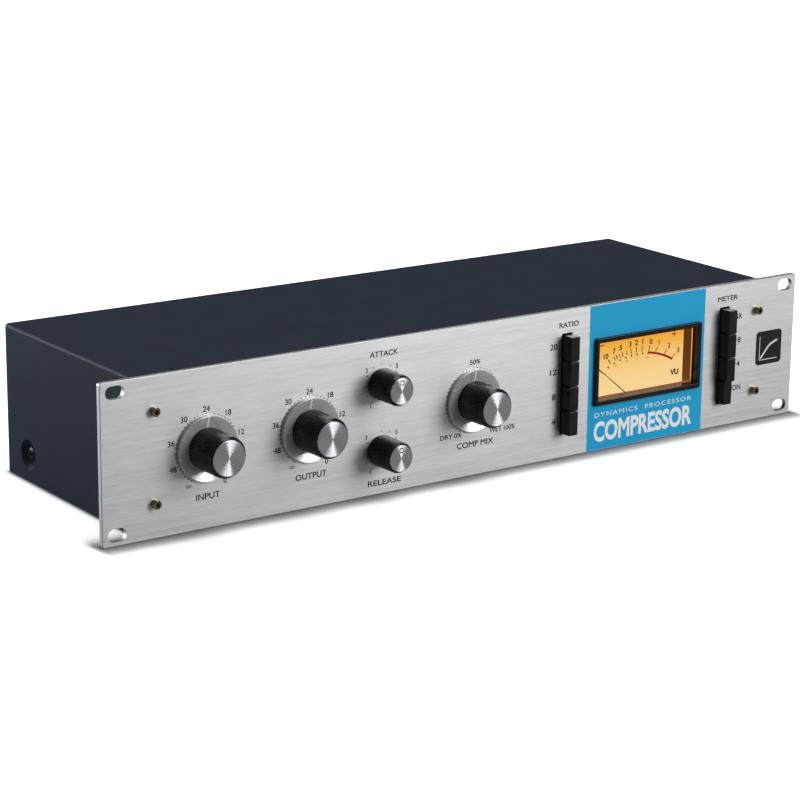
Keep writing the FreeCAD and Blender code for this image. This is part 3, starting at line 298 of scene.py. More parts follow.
def silvered_plastic():
    """Clear acrylic, thinly silvered on its back: half mirror, half window."""
    material = shader("silvered_plastic", {"Metallic": 0.42, "Coat Weight": 0.3,
                                           "Coat Roughness": 0.04, "Alpha": 0.8})
    haze = grain(material, per_metre=160.0)
    feed(material, "Base Color", colours(material, haze, [
        (NOISE_LOW, SKIRT_DARK), (NOISE_HIGH, SKIRT_LIGHT)]))
    uneven_gloss(material, haze, 0.2, 0.3)
    return material


def painted_glow(name, stops, strength, low, high):
    """A surface that glows with painted lamp light, a vertical ramp of colour between two heights.
    """
    material = shader(name, {"Base Color": (0.0, 0.0, 0.0), "Roughness": 0.7,
                             "Specular IOR Level": 0.0, "Emission Strength": strength})
    place = place_of_surface(material)
    height = add_node(material, "ShaderNodeSeparateXYZ", {"Vector": place}).outputs["Z"]
    level = add_node(material, "ShaderNodeMapRange",
                     {"Value": height, "From Min": low, "From Max": high}).outputs["Result"]
    fibres = spread(material, grain(material, per_metre=900.0), -0.004, 0.004)
    uneven = math_node(material, "ADD", level, fibres)
    feed(material, "Emission Color", colours(material, uneven, stops))
    return material


def ink(name, colour, roughness=0.55, specular=0.2):
    material = shader(name, {"Roughness": roughness, "Specular IOR Level": specular})
    mottle(material, grain(material, per_metre=1400.0, detail=2.0), colour, 0.88, 1.06)
    return material


def strip_paint():
    """Satin enamel over the brushed panel, whose scratches show faintly."""
    material = shader("strip_paint", {"Specular IOR Level": 0.2})
    scratches = grain(material, (60.0, 2600.0, 2600.0))
    mottle(material, scratches, STRIP_BLUE, 0.95, 1.05)
    uneven_gloss(material, scratches, 0.36, 0.48)
    relief(material, scratches, 0.003 * MM)
    return material


def circuit_board(name):
    """Green solder mask with a faint pattern of copper tracks under it."""
    material = shader(name, {"Roughness": 0.3, "Coat Weight": 0.3})
    tracks = add_node(material, "ShaderNodeTexVoronoi",
                      {"Vector": place_of_surface(material, (260.0, 260.0, 260.0)),
                       "Scale": 1.0}, feature="F1", distance="MANHATTAN").outputs["Distance"]
    feed(material, "Base Color", colours(material, tracks, [
        (0.28, (0.01, 0.09, 0.035)), (0.34, (0.02, 0.17, 0.06)), (0.5, (0.015, 0.12, 0.045))]))
    relief(material, tracks, 0.02 * MM)
    return material


def wound_tape(name, base):
    """Overlapping turns of polyester tape."""
    material = shader(name, {"Coat Weight": 0.3})
    turns = add_node(material, "ShaderNodeTexWave",
                     {"Vector": place_of_surface(material, (90.0, 90.0, 90.0)), "Scale": 1.0,
                      "Distortion": 2.0, "Detail": 2.0}).outputs["Fac"]
    feed(material, "Base Color", colours(material, turns, [
        (0.2, scaled(base, 0.7)), (0.8, scaled(base, 1.1))]))
    uneven_gloss(material, turns, 0.3, 0.45)
    relief(material, turns, 0.15 * MM)
    return material


SLOT_MATERIALS = {
    "brushed_panel": brushed_panel(),
    "powder_coat": powder_coat("powder_coat", (0.0068, 0.0145, 0.028)),
    "knob_black": plastic("knob_black", (0.0012, 0.001, 0.0009), 0.2),
    "clear_skirt": silvered_plastic(),
    "meter_glass": clear_plastic("meter_glass", (0.04, 0.04, 0.04), 0.01, 0.12),
    "bezel_black": plastic("bezel_black", (0.010, 0.0075, 0.007), 0.2, specular=0.28),
    "key_black": plastic("key_black", (0.0012, 0.0012, 0.0013), 0.3, specular=0.36),
    "zinc_steel": plated_metal("zinc_steel", (0.55, 0.55, 0.54), 0.32),
    "nickel_screw": plated_metal("nickel_screw", (0.32, 0.25, 0.17), 0.16),
    "black_screw": plated_metal("black_screw", (0.03, 0.03, 0.032), 0.3),
    "nickel_shell": plated_metal("nickel_shell", (0.58, 0.58, 0.57), 0.3),
    "connector_black": plastic("connector_black", (0.018, 0.018, 0.018), 0.5),
    "circuit_board": circuit_board("circuit_board"),
    "switch_grey": plastic("switch_grey", (0.12, 0.12, 0.13), 0.5),
    "toroid_wrap": wound_tape("toroid_wrap", (0.42, 0.26, 0.04)),
    "mu_metal": brushed_metal("mu_metal", (0.5, 0.5, 0.49), "z", 0.4),
    "capacitor_sleeve": plastic("capacitor_sleeve", (0.012, 0.02, 0.06), 0.25),
    "heatsink": brushed_metal("heatsink", (0.06, 0.06, 0.06), "z", 0.45),
    "needle_black": plastic("needle_black", (0.006, 0.003, 0.001), 0.5, specular=0.2),
    "coil_copper": wound_tape("coil_copper", (0.6, 0.24, 0.1)),
    "magnet": plated_metal("magnet", (0.3, 0.3, 0.31), 0.35),
    "pot_metal": plated_metal("pot_metal", (0.5, 0.5, 0.48), 0.35),
    "shaft_metal": brushed_metal("shaft_metal", (0.6, 0.6, 0.6), "y", 0.3),
    # the meter's card and walls glow with painted lamp light, brighter towards the bottom
    "scale_card": painted_glow("scale_card", CARD_PAINTED_GLOW, 1.0, CARD_LOW.z, CARD_HIGH.z),
    "meter_brown": painted_glow("meter_brown", WALL_PAINTED_GLOW, 1.0, CARD_LOW.z, CARD_HIGH.z),
}


INSERT_RADIUS = 7.75 * MM
# how deep under its flange's face each connector turns black; the input's insert is flush
# with the face, so its number lies clear of the face
INSERT_DEPTH = {"xlr_input": -1.0 * MM, "xlr_output": 13.0 * MM}


def finish_cad_nodes():
    """Give every CAD node the material of its slot, or one made for its place."""
    for part in frame["record"]["subparts"]:
        node, slot = part["node"], part["material_slot"]
        if slot == "spun_cap":
            material = spun_metal(f"spun_{node}", CAP_METAL, middle(node))
        elif node in INSERT_DEPTH:
            flange_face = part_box(node)[1].y
            material = connector_shell(f"shell_{node}", middle(node), INSERT_RADIUS,
                                       flange_face - INSERT_DEPTH[node])
        else:
            material = SLOT_MATERIALS[slot]
        mesh = frame["nodes"][node].data
        mesh.materials.clear()
        mesh.materials.append(material)


# ---- pieces ----

def finish_piece(name, mesh, material, body):
    mesh.materials.clear()
    mesh.materials.append(material)
    piece = bpy.data.objects.new(name, mesh)
    bpy.context.scene.collection.objects.link(piece)
    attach(piece, body)


# for letters of the font's own size, about 1 high
SAME_POINT = 0.004
SHARPEST_MITRE = 0.6    # sharper corners aren't drawn out any further
BOLD = 0.018            # how far the outlines of the panel's print are moved outward


def embolden(mesh, weight):
    """Move the outlines of flat shapes outward by this much, with mitred corners."""
    shape = bmesh.new()
    shape.from_mesh(mesh)
    bmesh.ops.remove_doubles(shape, verts=shape.verts, dist=SAME_POINT)
    sides = {}
    for edge in shape.edges:
        if len(edge.link_loops) == 1:
            loop = edge.link_loops[0]
            corners = (loop.vert, loop.link_loop_next.vert)
            along = (corners[1].co - corners[0].co).normalized()
            outward = along.cross(loop.face.normal)
            for corner in corners:
                sides.setdefault(corner, []).append(outward)
    for corner, outwards in sides.items():
        if len(outwards) == 2:
            one, two = outwards
            corner.co += (one + two) * weight / max(1 + one.dot(two), SHARPEST_MITRE)
    shape.to_mesh(mesh)
    shape.free()


def letter_mesh(text, weight=0.0, spacing=1.0):
    """The built-in font's outline of the text, made bolder by the weight."""
    curve = bpy.data.curves.new("letters", "FONT")
    curve.body = text
    curve.space_character = spacing
    curve.resolution_u = 4
    holder = bpy.data.objects.new("letters", curve)
    bpy.context.scene.collection.objects.link(holder)
    bpy.context.view_layer.update()
    mesh = bpy.data.meshes.new_from_object(holder)
    bpy.data.objects.remove(holder)
    bpy.data.curves.remove(curve)
    if weight:
        embolden(mesh, weight)
    return mesh


def capital_height():
    mesh = letter_mesh("H")
    heights = [vertex.co.y for vertex in mesh.vertices]
    bpy.data.meshes.remove(mesh)
    return max(heights) - min(heights)


CAPITAL = capital_height()
TO_FRONT = Matrix.Rotation(math.radians(90), 4, "X")
TO_REAR = Matrix.Rotation(math.radians(180), 4, "Z") @ TO_FRONT


class Print:
    """Flat ink shapes on one plane y = level, joined into one thin piece."""

    def __init__(self, level, facing=TO_FRONT):
        self.level = level
        self.facing = facing
        self.shapes = bmesh.new()

    def add(self, mesh, x, z):
        mesh.transform(Matrix.Translation((x, self.level, z)) @ self.facing)
        self.shapes.from_mesh(mesh)
        bpy.data.meshes.remove(mesh)

    def words(self, text, x, z, height, width=None, weight=0.0, spacing=1.0, turn=0.0):
        """Text whose box is centred on (x, z), with capitals this high."""
        mesh = letter_mesh(text, weight, spacing)
        low = Vector([min(vertex.co[axis] for vertex in mesh.vertices) for axis in (0, 1)])
        high = Vector([max(vertex.co[axis] for vertex in mesh.vertices) for axis in (0, 1)])
        centre = (low + high) / 2
        scale = height / CAPITAL
        across = width / (high.x - low.x) if width else scale
        mesh.transform(Matrix.Rotation(turn, 4, "Z") @ Matrix.Diagonal((across, scale, 1, 1))
                       @ Matrix.Translation((-centre.x, -centre.y, 0)))
        self.add(mesh, x, z)

    def polygon(self, points):
        corners = [self.shapes.verts.new((x, self.level, z)) for x, z in points]
        self.shapes.faces.new(corners)

    def dot(self, x, z, radius, sides=12):
        self.polygon([(x + radius * math.cos(2 * math.pi * step / sides),
                       z + radius * math.sin(2 * math.pi * step / sides))
                      for step in range(sides)])

    def line(self, start, end, width):
        start, end = Vector(start), Vector(end)
        side = (end - start).orthogonal().normalized() * width / 2
        self.polygon([tuple(start + side), tuple(start - side), tuple(end - side),
                      tuple(end + side)])

    def band(self, points, width):
        """A stroke of even width through the points."""
        rails = []
        for index, point in enumerate(points):
            before = Vector(points[max(index - 1, 0)])
            after = Vector(points[min(index + 1, len(points) - 1)])
            side = (after - before).orthogonal().normalized() * width / 2
            edges = (Vector(point) + side, Vector(point) - side)
            rails.append([self.shapes.verts.new((edge.x, self.level, edge.y))
                          for edge in edges])
        for one, two in zip(rails, rails[1:]):
            self.shapes.faces.new((one[0], one[1], two[1], two[0]))

    def finish(self, name, material, body="root"):
        """Give the ink its thickness, outward from the surface, and make the piece."""
        outward = -PRINT if self.facing is TO_FRONT else PRINT
        flat = list(self.shapes.faces)
        result = bmesh.ops.extrude_face_region(self.shapes, geom=flat)
        lifted = [item for item in result["geom"] if isinstance(item, bmesh.types.BMVert)]
        bmesh.ops.translate(self.shapes, verts=lifted, vec=(0, outward, 0))
        bmesh.ops.recalc_face_normals(self.shapes, faces=self.shapes.faces)
        mesh = bpy.data.meshes.new(name)
        self.shapes.to_mesh(mesh)
        self.shapes.free()
        finish_piece(name, mesh, material, body)


def on_circle(centre, radius, degrees):
    """A point on a dial, with angles measured clockwise from the top."""
    angle = math.radians(degrees)
    return (centre.x + radius * math.sin(angle), centre.z + radius * math.cos(angle))


# ---- panel print ----

LARGE = ("input", "output", "mix")
SMALL = ("attack", "release")
DIAL_END = 150.0        # degrees from the top at which each control stops
DOT = 0.36 * MM

LARGE_DOTS, LARGE_DOT_STEP = 18.9 * MM, 7.5
GAIN_SCALE = ("48", "36", "30", "24", "18", "12", "6", "0")
GAIN_STEP = 37.5
GAIN_NUMBERS = 22.2 * MM
TOP_NUMBER, TOP_NUMBER_OUT = "24", 21.5 * MM
GAIN_HEIGHT = 3.0 * MM

SMALL_DOTS, SMALL_DOT_STEP = 11.2 * MM, 30
TIME_SCALE = "1357"
TIME_START, TIME_STEP = -147, 98
TIME_NUMBERS, TIME_HEIGHT = 13.4 * MM, 2.5 * MM

# words, the node they belong to, their middle from the node's in mm, capital height, width;
# a switch bank's words are placed from the middle of the panel's height
LABELS = (
    ("INPUT", "input_knob_cap", 0.6, -26.2, 3.2, 14.7),
    ("OUTPUT", "output_knob_cap", 1.1, -25.8, 3.2, 20.2),
    ("COMP MIX", "mix_knob_cap", 2.0, -25.4, 3.2, 25.6),
    ("50%", "mix_knob_cap", 0.9, 22.3, 2.6, 7.3),
    ("DRY 0%", "mix_knob_cap", -15.2, -18.8, 2.6, 14.9),
    ("WET 100%", "mix_knob_cap", 21.0, -19.4, 2.6, 18.0),
    ("ATTACK", "attack_knob_cap", 1.3, 17.0, 3.0, 18.8),
    ("RELEASE", "release_knob_cap", 2.4, -18.3, 3.0, 22.2),
    ("RATIO", "ratio_switch_bank", 1.2, 35.1, 2.9, 14.3),
    ("20", "ratio_key_20", -9.7, 0.9, 3.4, 5.3),
    ("12", "ratio_key_12", -9.6, 0.7, 3.4, 4.7),
    ("8", "ratio_key_8", -8.7, 0.6, 3.4, 2.7),
    ("4", "ratio_key_4", -8.5, 0.4, 3.4, 2.8),
    ("METER", "meter_switch_bank", 2.1, 35.2, 2.9, 15.9),
    ("GR", "meter_key_gr", 11.2, 0.9, 3.2, 6.6),
    ("+8", "meter_key_8", 11.2, 0.8, 3.2, 5.8),
    ("+4", "meter_key_4", 11.2, 0.7, 3.2, 5.8),
    ("ON", "power_key", 12.0, 0.6, 3.2, 7.0),
)


def add_dots(print_, centre, radius, step, size):
    """Dots round a dial, from one end of its turn to the other."""
    for index in range(round(2 * DIAL_END / step) + 1):
        print_.dot(*on_circle(centre, radius, index * step - DIAL_END), size)


ENDLESS_LOOP = (0.78 * MM, 0.66 * MM)
ENDLESS_APART = 0.8 * MM
ENDLESS_STROKE = 0.32 * MM


def add_endless_mark(print_, centre):
    """A lying figure of eight, for a control turned right down."""
    x, z = on_circle(centre, GAIN_NUMBERS, -DIAL_END)
    across, up = ENDLESS_LOOP
    for side in (-1, 1):
        ring = [(x + side * ENDLESS_APART + across * math.cos(math.pi * step / 8),
                 z + up * math.sin(math.pi * step / 8)) for step in range(17)]
        print_.band(ring, ENDLESS_STROKE)


def make_panel_print():
    print_ = Print(PANEL_FRONT)
    for name in LARGE:
        add_dots(print_, middle(f"{name}_knob_cap"), LARGE_DOTS, LARGE_DOT_STEP, DOT)
    for name in ("input", "output"):
        centre = middle(f"{name}_knob_cap")
        for index, number in enumerate(GAIN_SCALE, start=1):
            radius = TOP_NUMBER_OUT if number == TOP_NUMBER else GAIN_NUMBERS
            place = on_circle(centre, radius, index * GAIN_STEP - DIAL_END)
            print_.words(number, *place, GAIN_HEIGHT, weight=BOLD)
        add_endless_mark(print_, centre)
    for name in SMALL:
        centre = middle(f"{name}_knob_cap")
        add_dots(print_, centre, SMALL_DOTS, SMALL_DOT_STEP, DOT)
        for index, number in enumerate(TIME_SCALE):
            place = on_circle(centre, TIME_NUMBERS, TIME_START + index * TIME_STEP)
            print_.words(number, *place, TIME_HEIGHT, weight=BOLD)
    for text, node, across, up, height, width in LABELS:
        spot = middle(node)
        rise = up if "bank" in node else up + spot.z / MM
        print_.words(text, spot.x + across * MM, rise * MM, height * MM, width * MM, BOLD)
    print_.finish("panel_legends", ink("panel_ink", INK))


def rectangle_ring(outer, inner):
    """Faces between two upright rectangles (x0, x1, z0, z1), as four bands."""
    ox0, ox1, oz0, oz1 = outer
    ix0, ix1, iz0, iz1 = inner
    return [[(ox0, oz0), (ix0, oz0), (ix0, oz1), (ox0, oz1)],
            [(ix1, oz0), (ox1, oz0), (ox1, oz1), (ix1, oz1)],
            [(ix0, oz0), (ix1, oz0), (ix1, iz0), (ix0, iz0)],
            [(ix0, iz1), (ix1, iz1), (ix1, oz1), (ix0, oz1)]]


STRIP_LEFT, STRIP_RIGHT = METER.x - 44.5 * MM, METER.x + 44.2 * MM
STRIP_BARE = 0.5 * MM       # metal left showing above and below the paint
STRIP_UNDER = 1.0 * MM      # how far the paint reaches under the meter's frame

# words, their middle across from the meter's and up from the panel's foot, capital height,
# width, all in mm, then weight and spacing
STRIP_WORDS = (
    ("COMPRESSOR", -1.4, 11.2, 11.0, 75.8, 0.035, 1.0),
    ("DYNAMICS  PROCESSOR", -1.6, 21.5, 2.6, 74.8, 0.0, 1.25),
)


def make_colour_strip():
    """The blue strip round the meter, with bare metal showing along its edges."""
    low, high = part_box("meter_bezel")
    bottom, top = PANEL_BASE + STRIP_BARE, PANEL_HIGH.z - STRIP_BARE
    paint = Print(PANEL_FRONT)
    hole = (low.x + STRIP_UNDER, high.x - STRIP_UNDER,
            low.z + STRIP_UNDER, high.z - STRIP_UNDER)
    for corners in rectangle_ring((STRIP_LEFT, STRIP_RIGHT, bottom, top), hole):
        paint.polygon(corners)
    paint.finish("colour_strip", strip_paint())
    lettering = Print(PANEL_FRONT - PRINT)
    for text, across, up, height, width, weight, spacing in STRIP_WORDS:
        lettering.words(text, METER.x + across * MM, PANEL_BASE + up * MM, height * MM,
                        width * MM, weight, spacing)
    lettering.finish("strip_lettering", ink("strip_ink", PALE_INK))


BADGE_X, BADGE_Z = PANEL_HIGH.x - 19.9 * MM, 0.3 * MM
BADGE_HALF, BADGE_CORNER = 10.5 * MM, 2.5 * MM
BADGE_GREY = (0.62, 0.62, 0.61)
AXIS_REACH, AXIS_STROKE = 7.4 * MM, 0.5 * MM
CURVE_STROKE = 1.3 * MM
BEND_BEFORE, BEND_AFTER = 0.16, 0.3     # parts of the two straights that the bend takes up


def between(start, end, part):
    return Vector(start).lerp(Vector(end), part)


def gain_curve():
    """Points of a straight rise that bends over at its knee into a flatter one."""
    start = (BADGE_X - 6.5 * MM, BADGE_Z - 6.5 * MM)
    knee = (BADGE_X + 0.6 * MM, BADGE_Z + 1.6 * MM)
    end = (BADGE_X + 7.0 * MM, BADGE_Z + 4.0 * MM)
    points = [between(start, knee, step / 6) for step in range(6)]
    for part in (0.2, 0.5, 0.8):
        rising = between(start, knee, 1 - BEND_BEFORE * (1 - part))
        flatter = between(knee, end, BEND_AFTER * part)
        points.append(rising * (1 - part) + flatter * part)
    points += [between(knee, end, step / 4) for step in range(2, 5)]
    return [tuple(point) for point in points]


def make_emblem():
    """A plain badge: a rounded square with the bent line of a compressor's gain curve."""
    badge = Print(PANEL_FRONT)
    points = []
    straight = BADGE_HALF - BADGE_CORNER
    for quarter, (side_x, side_z) in enumerate(((1, -1), (1, 1), (-1, 1), (-1, -1))):
        for step in range(7):
            angle = math.radians(-90 + quarter * 90 + step * 15)
            points.append((BADGE_X + side_x * straight + BADGE_CORNER * math.cos(angle),
                           BADGE_Z + side_z * straight + BADGE_CORNER * math.sin(angle)))
    badge.polygon(points)
    badge.finish("badge_field", ink("badge_ink", INK))
    curve = Print(PANEL_FRONT - PRINT)
    curve.band(gain_curve(), CURVE_STROKE)
    corner = (BADGE_X - AXIS_REACH, BADGE_Z - AXIS_REACH)
    curve.line(corner, (BADGE_X + AXIS_REACH, BADGE_Z - AXIS_REACH), AXIS_STROKE)
    curve.line(corner, (BADGE_X - AXIS_REACH, BADGE_Z + AXIS_REACH), AXIS_STROKE)
    curve.finish("badge_curve", ink("badge_line", BADGE_GREY))


# ---- knobs ----

SKIRT_SLOPE = 1.5 / 5.9     # how far the clear skirt's dish falls back towards the knob
POINTER_START, POINTER_END, POINTER_STROKE = 11.9 * MM, 17.6 * MM, 0.85 * MM
RING_RISE, RING_RADIUS, RING_STROKE = 4.7 * MM, 1.25 * MM, 0.5 * MM
POINTER_WHITE = (0.9, 0.9, 0.88)
RING_BLACK = (0.004, 0.004, 0.004)


def make_knob_marks():
    """White lines sunk in the clear skirts, and a dark ring on each small knob's cap."""
    white = ink("pointer_ink", POINTER_WHITE)
    dark = ink("index_ink", RING_BLACK, 0.9, specular=0.0)
    for name in LARGE:
        centre = middle(f"{name}_knob_cap")
        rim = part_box(f"{name}_knob_skirt")[0].y
        pointer = Print(rim)
        pointer.line((centre.x, centre.z + POINTER_START), (centre.x, centre.z + POINTER_END),
                     POINTER_STROKE)
        for corner in pointer.shapes.verts:
            inward = POINTER_END - (corner.co.z - centre.z)
            corner.co.y += SKIRT_SLOPE * inward
        pointer.finish(f"{name}_pointer", white, f"{name}_control")
    for name in SMALL:
        centre = middle(f"{name}_knob_cap")
        ring = Print(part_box(f"{name}_knob_cap")[0].y)
        ring_centre = Vector((centre.x, 0, centre.z + RING_RISE))
        ring.band([on_circle(ring_centre, RING_RADIUS, step * 15) for step in range(25)],
                  RING_STROKE)
        ring.finish(f"{name}_index", dark, f"{name}_control")


# ---- meter face ----

# numbers and their angles from upright at the needle's pivot; the first mark stands at the
# edge of the window and goes without its number
SCALE_MARKS = (("20", -50.7), ("10", -37.8), ("7", -28.4), ("5", -20.9), ("3", -9.7),
               ("2", -2.3), ("1", 5.2), ("0", 15.0), ("1", 24.9), ("2", 37.0), ("3", 48.2))
FIRST_RED = 8
MINOR_MARKS = (-31.3, -24.6, -15.4)
PERCENT_START, PERCENT_SPAN, PERCENT_DOTS = -50.7, 65.7, 9
RED_START, RED_END, RED_STROKE = 15.0, 49.5, 1.35 * MM
NEEDLE_PIVOT_Z = -22.4 * MM
ARC_RADIUS = 55.0 * MM
ARC_TOP = 7.9 * MM
TICK_START, TICK_END, TICK_STROKE = 0.7 * MM, 4.1 * MM, 0.58 * MM
MINOR_END, MINOR_STROKE = 3.4 * MM, 0.52 * MM
NUMBERS_OUT, NUMBER_HEIGHT, NUMBER_WEIGHT = 6.8 * MM, 3.0 * MM, 0.03
DOTS_IN, DOT_RADIUS = 0.5 * MM, 0.62 * MM
PERCENT_IN, PERCENT_HEIGHT = 2.9 * MM, 1.1 * MM
SIGN_Z, SIGN_STROKE, PLUS_REACH = 16.2 * MM, 0.6 * MM, 1.8 * MM
MINUS_LEFT, MINUS_RIGHT = CARD_LOW.x + 5.6 * MM, CARD_LOW.x + 9.2 * MM
PLUS_X = METER.x + 27.8 * MM
VU_X, VU_Z = METER.x + 29.0 * MM, -7.4 * MM
VU_HEIGHT, VU_WIDTH, VU_WEIGHT = 3.3 * MM, 6.6 * MM, 0.045


def on_arc(degrees):
    """Where the line from the needle's pivot at this angle meets the scale's flatter arc."""
    way = Vector((math.sin(math.radians(degrees)), math.cos(math.radians(degrees))))
    start = Vector((0, NEEDLE_PIVOT_Z - (ARC_TOP - ARC_RADIUS)))
    along = -start.dot(way) + math.sqrt(start.dot(way) ** 2 - start.length_squared
                                        + ARC_RADIUS ** 2)
    return Vector((METER.x, NEEDLE_PIVOT_Z)) + way * along, way


def add_tick(print_, degrees, end, stroke):
    place, way = on_arc(degrees)
    print_.line(tuple(place + way * TICK_START), tuple(place + way * end), stroke)


def make_meter_face():
    black, red, faint = Print(CARD_FACE), Print(CARD_FACE), Print(CARD_FACE)
    for index, (number, degrees) in enumerate(SCALE_MARKS):
        target = red if index >= FIRST_RED else black
        add_tick(target, degrees, TICK_END, TICK_STROKE)
        if index:
            place, way = on_arc(degrees)
            target.words(number, *(place + way * NUMBERS_OUT), NUMBER_HEIGHT,
                         weight=NUMBER_WEIGHT)
    for degrees in MINOR_MARKS:
        add_tick(black, degrees, MINOR_END, MINOR_STROKE)
    red.band([tuple(on_arc(RED_START + step * (RED_END - RED_START) / 16)[0])
              for step in range(17)], RED_STROKE)
    for step in range(PERCENT_DOTS):
        place, way = on_arc(PERCENT_START + step * PERCENT_SPAN / (PERCENT_DOTS - 1))
        black.dot(*(place - way * DOTS_IN), DOT_RADIUS, sides=10)
        if step % 2 == 0:
            label = str(step // 2 * 25)
            faint.words(label, *(place - way * PERCENT_IN), PERCENT_HEIGHT)
    black.words("VU", VU_X, VU_Z, VU_HEIGHT, VU_WIDTH, VU_WEIGHT)
    red.line((MINUS_LEFT, SIGN_Z), (MINUS_RIGHT, SIGN_Z), SIGN_STROKE)
    plus = Vector((PLUS_X, SIGN_Z))
    for reach in (Vector((PLUS_REACH, 0.0)), Vector((0.0, PLUS_REACH))):
        red.line(tuple(plus - reach), tuple(plus + reach), SIGN_STROKE)
    faint.finish("scale_small_marks", ink("scale_faint_ink", METER_FAINT))
    black.finish("scale_marks", ink("scale_ink", METER_INK))
    red.finish("scale_red", ink("scale_red_ink", METER_RED))


RIM_INSET = 0.15 * MM


def make_window_rim():
    """The polished edge of the meter's pane, which the lit card shines into."""
    low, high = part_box("meter_window")
    shape = bmesh.new()
    left, right, bottom, top = (low.x + RIM_INSET, high.x - RIM_INSET,
                                low.z + RIM_INSET, high.z - RIM_INSET)
    front, rear = low.y + RIM_INSET, high.y - RIM_INSET
    outer = [(low.x, low.z), (high.x, low.z), (high.x, high.z), (low.x, high.z)]
    inner = [(left, bottom), (right, bottom), (right, top), (left, top)]
    rings = [[shape.verts.new((x, y, z)) for x, z in corners]
             for corners, y in ((outer, front), (inner, front), (inner, rear), (outer, rear))]
    for one, two in zip(rings, rings[1:] + rings[:1]):
        for index in range(4):
            after = (index + 1) % 4
            shape.faces.new((one[index], one[after], two[after], two[index]))
    bmesh.ops.recalc_face_normals(shape, faces=shape.faces)
    mesh = bpy.data.meshes.new("window_rim")
    shape.to_mesh(mesh)
    shape.free()
    glow = painted_glow("window_edge", RIM_GLOW, 1.0, low.z, high.z)
    finish_piece("window_rim", mesh, glow, "root")


# ---- rear ----

REAR_WORD_RISE, REAR_WORD_HEIGHT = 4.2 * MM, 3.0 * MM
JACK_HALF = 8 * MM      # from the end of the jacks' box to the middle of the jack there


def make_rear_print():
    print_ = Print(CASE_HIGH.y, TO_REAR)

    def above(node, x, label):
        print_.words(label, x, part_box(node)[1].z + REAR_WORD_RISE, REAR_WORD_HEIGHT)

    for node, label in (("xlr_input", "INPUT"), ("xlr_output", "OUTPUT"),
                        ("mains_inlet", "MAINS")):
        above(node, middle(node).x, label)
    low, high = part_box("jack_sockets")
    above("jack_sockets", low.x + JACK_HALF, "INPUT")
    above("jack_sockets", high.x - JACK_HALF, "OUTPUT")
    print_.finish("rear_legends", ink("rear_ink", PALE_INK))


# ---- the studio ----

# the floor as the camera sees it: its glow and its grey, both low round the unit's foot as a
# painted shadow, each a row of (distance from the unit in units of PAPER_SPAN, grey level)
PAPER_SPAN = 0.2
PAPER_GLOW_PAINTED_SHADE = ((0.0, 0.02), (0.035, 0.08), (0.06, 0.3), (0.085, 0.5), (0.14, 0.68),
              (0.22, 0.84), (0.4, 1.0))
PAPER_PAINTED_SHADOW = ((0.0, 0.16), (0.035, 0.45), (0.07, 0.84))
# and as the unit receives it, which is less, so that the unit isn't lit from below
FLOOR_RETURN = 0.2
FLOOR_GLOW = 0.1
# how many times over x and y count in the distance from the case and from the panel
CASE_WEIGHTS, PANEL_WEIGHTS = (5, 4, 0), (3, 1, 0)
FLOOR_HALF = 9.0
FLOOR_GAP = 0.05 * MM

# name, place, what it aims at, width and height, watts, colour
LIGHTS = (
    ("softbox", (1.02, -1.45, 0.75), (0, 0, 0.1), (0.95, 1.3), 28, (1.0, 1.0, 1.0)),
    ("overhead", (0.1, 0.1, 1.6), (0, 0, 0), (2.0, 0.9), 15, (1.0, 1.0, 1.0)),
    ("rear", (-0.6, 1.9, 0.55), (0, 0.15, 0), (1.0, 0.7), 5, (1.0, 1.0, 1.0)),
    ("left_back", (-1.2, 1.15, 0.28), (0, 0.1, 0), (0.9, 0.5), 11, (0.78, 0.89, 1.0)),
)
SURROUND, SURROUND_STRENGTH = (0.93, 0.96, 1.0, 1.0), 0.16


def reach_from(material, low, high, weights):
    """Distance outside a box's footprint, with x and y counted several times over."""
    def vector_math(operation, *inputs):
        return add_node(material, "ShaderNodeVectorMath", dict(enumerate(inputs)),
                        operation=operation)

    centred = place_of_surface(material, offset=tuple(-(low + high) / 2))
    distance = vector_math("ABSOLUTE", centred).outputs["Vector"]
    past_side = vector_math("SUBTRACT", distance, tuple((high - low) / 2)).outputs["Vector"]
    outside = vector_math("MAXIMUM", past_side, (0, 0, 0)).outputs["Vector"]
    weighted = vector_math("MULTIPLY", outside,
                           tuple(weight / PAPER_SPAN for weight in weights)).outputs["Vector"]
    return vector_math("LENGTH", weighted).outputs["Value"]


def greys(material, factor, stops):
    return colours(material, factor, [(place, (grey,) * 3) for place, grey in stops])


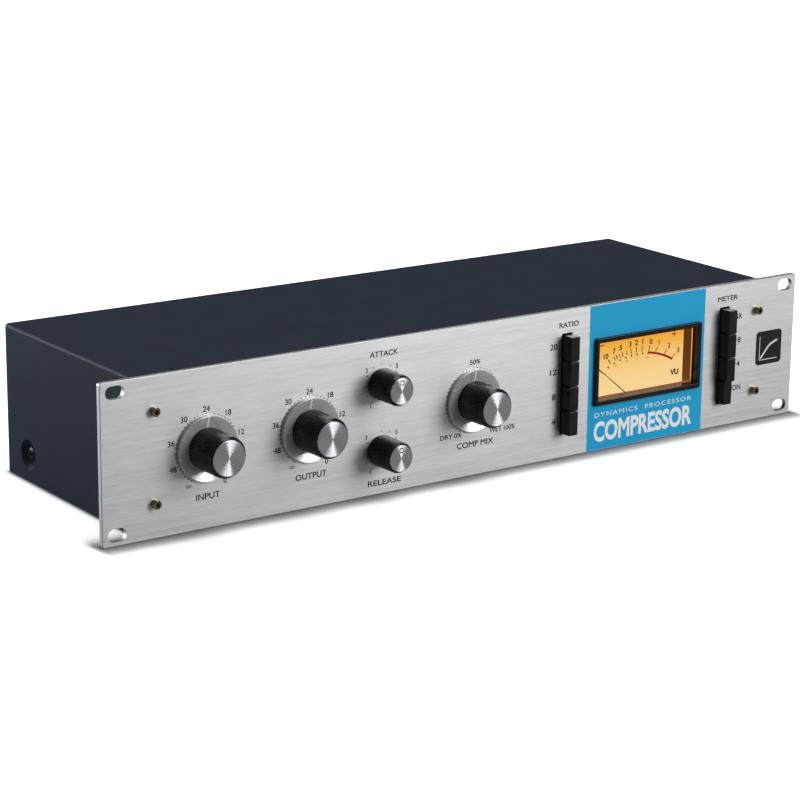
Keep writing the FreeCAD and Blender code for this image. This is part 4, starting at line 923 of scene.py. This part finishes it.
def make_floor():
    """White paper with a painted shadow, darkest round the unit's foot, that glows further out.

    The camera is shown all of that. The unit receives only part of the light back.
    """
    mesh = bpy.data.meshes.new("floor")
    level = PANEL_BASE - FLOOR_GAP
    corners = [(x * FLOOR_HALF, y * FLOOR_HALF, level)
               for x, y in ((-1, -1), (1, -1), (1, 1), (-1, 1))]
    mesh.from_pydata(corners, [], [(0, 1, 2, 3)])
    material = shader("floor_white", {"Roughness": 0.9, "Specular IOR Level": 0.0,
                                      "Emission Color": (1.0, 1.0, 1.0)})
    seen = add_node(material, "ShaderNodeLightPath").outputs["Is Camera Ray"]

    def either(returned, shown):
        """What the camera is shown, or else what the paper gives back to the unit."""
        return add_node(material, "ShaderNodeMix", {"Factor": seen, "A": returned, "B": shown},
                        data_type="FLOAT").outputs["Result"]

    reach = math_node(material, "MINIMUM",
                      reach_from(material, CASE_LOW, CASE_HIGH, CASE_WEIGHTS),
                      reach_from(material, PANEL_LOW, PANEL_HIGH, PANEL_WEIGHTS))
    # both ramps paint a shadow round the unit's foot: least glow and darkest grey next to it
    glow, white = (greys(material, reach, stops) for stops in (PAPER_GLOW_PAINTED_SHADE, PAPER_PAINTED_SHADOW))
    feed(material, "Emission Strength", either(FLOOR_GLOW, glow))
    feed(material, "Base Color", either(FLOOR_RETURN, white))
    mesh.materials.append(material)
    floor = bpy.data.objects.new("floor", mesh)
    bpy.context.scene.collection.objects.link(floor)


def area_light(name, place, aim, size, power, colour):
    light = bpy.data.lights.new(name, "AREA")
    light.shape = "RECTANGLE"
    light.size, light.size_y = size
    light.energy = power
    light.color = colour
    holder = bpy.data.objects.new(name, light)
    holder.location = place
    holder.rotation_euler = (Vector(aim) - Vector(place)).to_track_quat("-Z", "Y").to_euler()
    bpy.context.scene.collection.objects.link(holder)


def make_lights():
    world = bpy.data.worlds.new("studio")
    world.use_nodes = True
    background = world.node_tree.nodes["Background"]
    background.inputs["Color"].default_value = SURROUND
    background.inputs["Strength"].default_value = SURROUND_STRENGTH
    bpy.context.scene.world = world
    for light in LIGHTS:
        area_light(*light)


def make_camera():
    camera = bpy.data.cameras.new("camera")
    camera.lens = CAMERA_LENS
    camera.sensor_width = CAMERA_SENSOR
    camera.shift_x, camera.shift_y = CAMERA_SHIFT
    camera.clip_start, camera.clip_end = CAMERA_CLIP
    holder = bpy.data.objects.new("camera", camera)
    turn = (Matrix.Rotation(math.radians(CAMERA_AZIMUTH), 4, "Z")
            @ Matrix.Rotation(math.radians(90 - CAMERA_ELEVATION), 4, "X")
            @ Matrix.Rotation(math.radians(CAMERA_ROLL), 4, "Z"))
    holder.matrix_world = Matrix.Translation(CAMERA_PLACE) @ turn
    bpy.context.scene.collection.objects.link(holder)
    bpy.context.scene.camera = holder


make_camera()
make_floor()
make_lights()
bpy.context.scene.view_settings.view_transform = "Standard"
finish_cad_nodes()
make_panel_print()
make_colour_strip()
make_emblem()
make_knob_marks()
make_meter_face()
make_window_rim()
make_rear_print()
